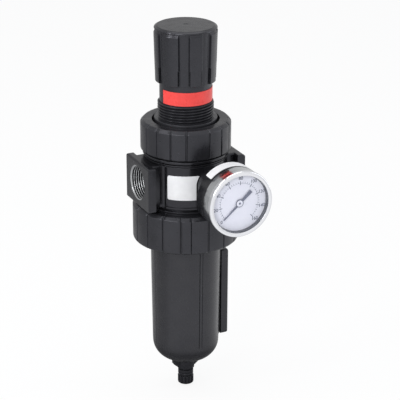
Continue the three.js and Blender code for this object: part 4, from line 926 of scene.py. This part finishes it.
# Nitrile rubber: dull black with a dusty bloom, drawn coarser than it is, so that it shows.
rubber, tree, shader = new_finish("nitrile_rubber", "#1b1b1c", 0.75)
tinted(tree, shader, mottle(tree, 5, 4), "#181819", "#222223")
bumped(tree, shader, mottle(tree, 0.6, 3), 0.03, 0.5)
seal = strip(9, 73.5, 27.6, 28.6, 2)
seal = combined(seal, strip(window_width, window_length, 26, 30, 1.9), "DIFFERENCE")
seal = drilled(seal, 26, 30)
place("sight_gasket", seal, rubber, "bowl", ["sight_seal"])

# Zinc-plated steel: bluish, uneven in gloss, with tool marks that are drawn coarser than they are.
zinc_steel, tree, shader = new_finish("zinc_steel", "#9fa3a8", 0.32, 1.0)
tinted(tree, shader, mottle(tree, 2.5, 3), "#959a9f", "#a9adb1")
roughened(tree, shader, mottle(tree, 1, 3), 0.26, 0.42)
bumped(tree, shader, mottle(tree, 0.3, 1), 0.01, 0.4)
screw_outline = rounded([
    (0, 26.7), (1.7, 26.7, 0.2), (1.7, 34.9), (2.9, 34.9, 0.2), (2.9, 36.1, 0.7), (0, 36.5)])
for name, height in screw_heights.items():
    screw = combined(turned(screw_outline, around(48)), box(-0.4, 0.4, -4, 4, 35.7, 37.5), "DIFFERENCE")
    screw = moved(screw, turn(90, "Y"), shift(0, 0, height))
    place("guard_screw_" + name, screw, zinc_steel, "bowl", ["sight_screw_" + name])

# ---- Drain ---------------------------------------------------------
# Moulded plastic twist drain, held in the bowl's boss by a nut inside: collar with two wings, stem, and a
# knurled knob with a hose outlet.

collar = turned(rounded([
    (0, -172), (6.2, -172, 0.4), (6.2, -169.5, 0.2), (4.7, -169.4), (4.7, -167.9), (7, -167.8, 0.3),
    (7, -160.5, 0.3), (4.2, -160.5), (4.2, -150.9, 0.3), (0, -150.9)]), around(64))
for side in (1, -1):
    wing = prism([(0, -160.5), (11.2, -160.5), (11.2, -163.3), (7.2, -166.7), (0, -166.7)], -2.3, 2.3)
    collar = combined(collar, moved(wing, turn(90, "X"), Matrix.Diagonal((side, 1, 1, 1))), "UNION")
collar = combined(collar, rod(2.7, -173, -150, 32), "DIFFERENCE")
place("drain_collar", collar, black_plastic, "bowl", ["drain_body"], bevel=0.3)

drain_knob_radius = 6.4
knurl_depth = 0.9
drain_knurls = [(360 / 14 * step, 0.55, drain_knob_radius) for step in range(14)]
drain_share = {angle: groove_share(angle, drain_knurls) for angle in groove_angles(drain_knurls, 28)}


def drain_radius(radius, height, tag, angle):
    return radius - knurl_depth * drain_share[angle] if tag == "knurl" else radius


drain_knob = turned(rounded([
    (1.3, -181.6, 0.2), (6, -181.6, 0.3), (drain_knob_radius, -181.2, 0.3, "knurl"),
    (drain_knob_radius, -175, 0.2, "knurl"), (4.9, -174.9), (4.9, -173.5), (6.2, -173.4, 0.2),
    (6.2, -172.3, 0.4), (2.3, -172.3), (2.3, -162.5, 0.3), (1.3, -164.5)]), list(drain_share), drain_radius)
place("drain_twist_knob", drain_knob, black_plastic, "drain", ["drain_knob"])

# ---- Gauge ---------------------------------------------------------
# A 2 inch dial gauge, screwed into the boss by its brass stem: a black rear can, a polished sleeve, a chromed
# bezel over a grey gasket and a clear lens, and a white dial with a plain 0 to 160 scale.


def gauge_turned(outline, count=144):
    """A piece turned on the gauge's own axis."""
    return moved(turned(outline, around(count)), *gauge_place)


# Bright chrome plate, with the faint waviness and wipe marks of pressed sheet.
chrome, tree, shader = new_finish("bright_chrome", "#e9eaee", 0.1, 1.0)
roughened(tree, shader, mottle(tree, 10, 4), 0.06, 0.16)
bumped(tree, shader, mottle(tree, 14, 1), 0.06, 0.25)

# Polished stainless sheet, greyer than the plate, with drawing marks along the gauge's axis.
polished_steel, tree, shader = new_finish("polished_steel", "#ccced0", 0.14, 1.0)
tinted(tree, shader, mottle(tree, 9, 3), "#c4c6c9", "#d4d6d8")
roughened(tree, shader, mottle(tree, 3, 3), 0.1, 0.2)
bumped(tree, shader, mottle(tree, 5, 1, (1, 0.2, 1)), 0.03, 0.4)

can = rounded([
    (5.9, 53.7), (24, 53.7, 1.2), (24.9, 54.6, 0.8), (24.9, 66.4), (23.9, 66.4), (23.9, 54.7, 0.8),
    (5.9, 54.7)])
place("gauge_can", gauge_turned(can), black_paint, "housing", ["gauge_case"])
sleeve = rounded([(24, 66.4), (25.3, 66.4, 0.15), (24.9, 73.3), (24, 73.3)])
place("gauge_sleeve", gauge_turned(sleeve), polished_steel, "housing")
bezel = rounded([
    (24.1, 73.3), (24.9, 73.3), (24.9, 74.6, 0.3), (25.8, 75.4, 0.4), (25.8, 77.2, 1.2), (25.4, 78.3, 1.0),
    (24.0, 78.7, 1.0), (22.45, 78.3, 0.4), (22.45, 78.05), (23, 78.05), (23, 76.4), (24.1, 76.4)], steps=6)
place("gauge_bezel_ring", gauge_turned(bezel), chrome, "housing", ["gauge_bezel"])

# Grey moulded rubber under the lens: dull, with a fine bloom, drawn coarser than it is.
grey_rubber, tree, shader = new_finish("grey_rubber", "#5b5e63", 0.55)
tinted(tree, shader, mottle(tree, 4, 3), "#54575c", "#62656a")
bumped(tree, shader, mottle(tree, 0.6, 2), 0.02, 0.4)
gauge_gasket = rounded([(21.7, 74.8), (22.95, 74.8), (22.95, 78.0), (22.4, 78.0)])
place("gauge_gasket", gauge_turned(gauge_gasket), grey_rubber, "housing")
lens = rounded([(0, 76.3), (21.95, 76.3), (22.2, 77.5), (0, 77.5)])
place("gauge_window", gauge_turned(lens, 96), clear_plastic, "housing", ["gauge_lens"])

# Satin white enamel of the dial, very faintly uneven.
dial_white, tree, shader = new_finish("dial_enamel", "#fafaff", 0.5)
tinted(tree, shader, mottle(tree, 12, 2), "#f6f7fb", "#fafbfe")
bumped(tree, shader, mottle(tree, 1.5, 2), 0.01, 0.3)
dial = rounded([(1, 73.9), (23.6, 73.9, 0.1), (23.6, 74.7, 0.1), (1, 74.7)])
place("gauge_face", gauge_turned(dial, 96), dial_white, "housing", ["gauge_dial"])

# Printed scale: grey-blue ink a hair above the enamel, an arc with 40 steps, and plain numbers outside it.
scale_ink, tree, shader = new_finish("scale_ink", "#646b7c", 0.6)
tinted(tree, shader, mottle(tree, 0.8, 2), "#5e6576", "#6a7182")
ink_low = 74.72
ink_high = 74.76
scale_zero = 222
scale_sweep = 270
scale_steps = 40
scale_radius = 15.5
scale_line = 0.13
number_radius = 19.3
number_steps = 8
sweep = [scale_zero - scale_sweep + scale_sweep * step / 90 for step in range(91)]
scale_arc = arc(scale_radius + scale_line / 2, sweep) + arc(scale_radius - scale_line / 2, reversed(sweep))
marks = [prism(scale_arc, ink_low, ink_high)]
for step in range(scale_steps + 1):
    half, inner, outer = (0.24, 14.1, 17.1) if step % 5 == 0 else (0.11, scale_radius, 16.7)
    tick = box(inner, outer, -half, half, ink_low, ink_high)
    marks.append(moved(tick, turn(scale_zero - step * scale_sweep / scale_steps, "Z")))
for step in range(number_steps + 1):
    angle = radians(scale_zero - step * scale_sweep / number_steps)
    words = bpy.data.curves.new("number", "FONT")
    words.body = str(step * 20)
    words.size = 3.6
    words.offset = 0.06
    words.align_x = "CENTER"
    words.align_y = "CENTER"
    words.extrude = (ink_high - ink_low) / 2
    holder = bpy.data.objects.new("number", words)
    bpy.context.collection.objects.link(holder)
    flat = holder.evaluated_get(bpy.context.evaluated_depsgraph_get())
    number = bmesh.new()
    number.from_mesh(flat.to_mesh())
    flat.to_mesh_clear()
    bpy.data.objects.remove(holder)
    x = number_radius * cos(angle)
    y = number_radius * sin(angle)
    marks.append(moved(number, shift(x, y, (ink_low + ink_high) / 2)))
place("gauge_scale", moved(merged(*marks), *gauge_place), scale_ink, "housing")

# The pointer: stamped sheet painted slate, a long fine end and a broad tail, under a white hub cap.
slate_paint, tree, shader = new_finish("slate_paint", "#6b7080", 0.5)
tinted(tree, shader, mottle(tree, 3, 2), "#666b7b", "#717686")
blade_upper = [(17.5, 0.22), (0, 1.0), (-1.9, 1.0), (-12.2, 1.45), (-12.6, 1.3)]
blade = prism([(x, -y) for x, y in reversed(blade_upper)] + blade_upper, 75.3, 75.6)
shaft = rounded([(0, 71.9), (0.7, 71.9), (0.7, 75.2), (3.1, 75.2), (3.1, 75.5), (0, 75.5)])
pointer = moved(merged(moved(blade, turn(scale_zero, "Z")), turned(shaft, around(40))), *gauge_place)
place("gauge_needle", pointer, slate_paint, "pointer", ["gauge_pointer"])
cap = rounded([(0, 75.1), (2.5, 75.1, 0.2), (2.5, 75.8, 0.3), (1.1, 76.1, 0.1), (0.8, 75.3), (0, 75.3)])
place("gauge_needle_cap", gauge_turned(cap, 40), dial_white, "pointer")

# Pale film band, stuck over the top of the rear can.
band = wrapped(25.0, 25.22, low=-63.7, high=-54.9, start=-45, end=45, corner=0.8)
band = moved(band, Matrix.Diagonal((1, -1, -1, 1)), *gauge_place)
place("gauge_band", band, white_film, "housing", ["gauge_sticker"], crisp=50)

# Turned brass, slightly tarnished, with tool marks that are drawn coarser than they are.
brass, tree, shader = new_finish("turned_brass", "#b4924f", 0.34, 1.0)
tinted(tree, shader, mottle(tree, 3, 3), "#a8864a", "#bd9c5a")
roughened(tree, shader, mottle(tree, 1.5, 3), 0.28, 0.45)
bumped(tree, shader, mottle(tree, 0.4, 1), 0.01, 0.4)
stem_round = turned(rounded([
    (0, 36), (5.7, 36, 0.5), (6.2, 37), (6.2, 46), (5.6, 46.1), (5.6, 60), (0, 60)]), around(48))
stem = combined(box(-7, 7, -7, 7, 46.3, 53.4, 2.2), stem_round, "UNION")
stem = combined(stem, box(-3.5, 3.5, -17, 0, 55, 60, 0.5), "UNION")
place("gauge_socket", moved(stem, *gauge_place), brass, "housing", ["gauge_stem"], bevel=0.3)

# ---- Inner pieces --------------------------------------------------
# The CAD solids that stay inside keep their own shape and get their real finishes: moulded guide and baffles,
# rubber rings, plated steel, turned brass, a sintered filter sleeve and a nylon washer.

# Open-pored white sintered plastic; the pores are drawn at 0.5 mm, coarser than they are, so that they show.
sintered, tree, shader = new_finish("sintered_sleeve", "#d9dcdb", 0.9)
tinted(tree, shader, mottle(tree, 0.8, 4), "#c9cccb", "#e3e6e5")
bumped(tree, shader, mottle(tree, 0.5, 4), 0.15, 1.0)
# Natural nylon, milky and waxy.
nylon, tree, shader = new_finish("natural_nylon", "#d8d2c4", 0.5)
tinted(tree, shader, mottle(tree, 6, 2), "#d1cbbc", "#ded9cc")
bumped(tree, shader, mottle(tree, 0.8, 2), 0.02, 0.4)
inner_finishes = {
    black_plastic: ["valve_guide", "deflector", "baffle"],
    rubber: ["guide_seal", "bowl_seal", "drain_seal"],
    zinc_steel: ["adjusting_screw", "retaining_clip", "diaphragm_plate", "rear_plug"],
    brass: ["spring_nut", "valve_seat", "valve_poppet", "drain_nut", "bourdon_tube", "gauge_movement"],
    sintered: ["filter_element"],
    nylon: ["thrust_washer"],
}
for material, nodes in inner_finishes.items():
    for node in nodes:
        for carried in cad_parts[node].material_slots:
            carried.material = material

# ---- Diaphragm and springs -----------------------------------------
# Moulded rubber: the clamped rim and its slope stay still, and the middle rises and sinks with its plate, its
# rolled edge sliding past the slope. The two steel springs are the CAD coils.

rim = rounded([
    (24.6, 33.7, 0.5), (31.9, 33.7), (31.9, 34.7), (24.2, 34.7, 0.5), (21.15, 32.4, 0.2), (21.15, 31.3, 0.2)])
place("diaphragm_rim", turned(rim, around(96)), rubber, "housing", ["diaphragm"])
middle = rounded([
    (4.6, 30.9), (20.9, 30.9, 0.5), (20.9, 33.3, 0.25), (20.3, 33.3, 0.25), (20.3, 31.9, 0.2), (4.6, 31.9)])
place("diaphragm_middle", turned(middle, around(96)), rubber, "plate", ["diaphragm"])

# Each spring: its name, its CAD coil, its joint, the height of its still end, and the share of its length
# that is left at that joint's limit.
springs = [
    ("regulating_coil", "regulating_spring", "nut_travel", 0.0349, 0.716),
    ("valve_coil", "valve_spring", "valve_travel", -0.0201, 0.823),
]
for name, node, joint, foot, keep in springs:
    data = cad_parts[node].data.copy()
    for face in data.polygons:
        face.use_smooth = True
    data.materials.clear()
    data.materials.append(zinc_steel)
    coil = bpy.data.objects.new(name, data)
    bpy.context.collection.objects.link(coil)
    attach(coil, "housing")
    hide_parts(node)
    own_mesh(coil)
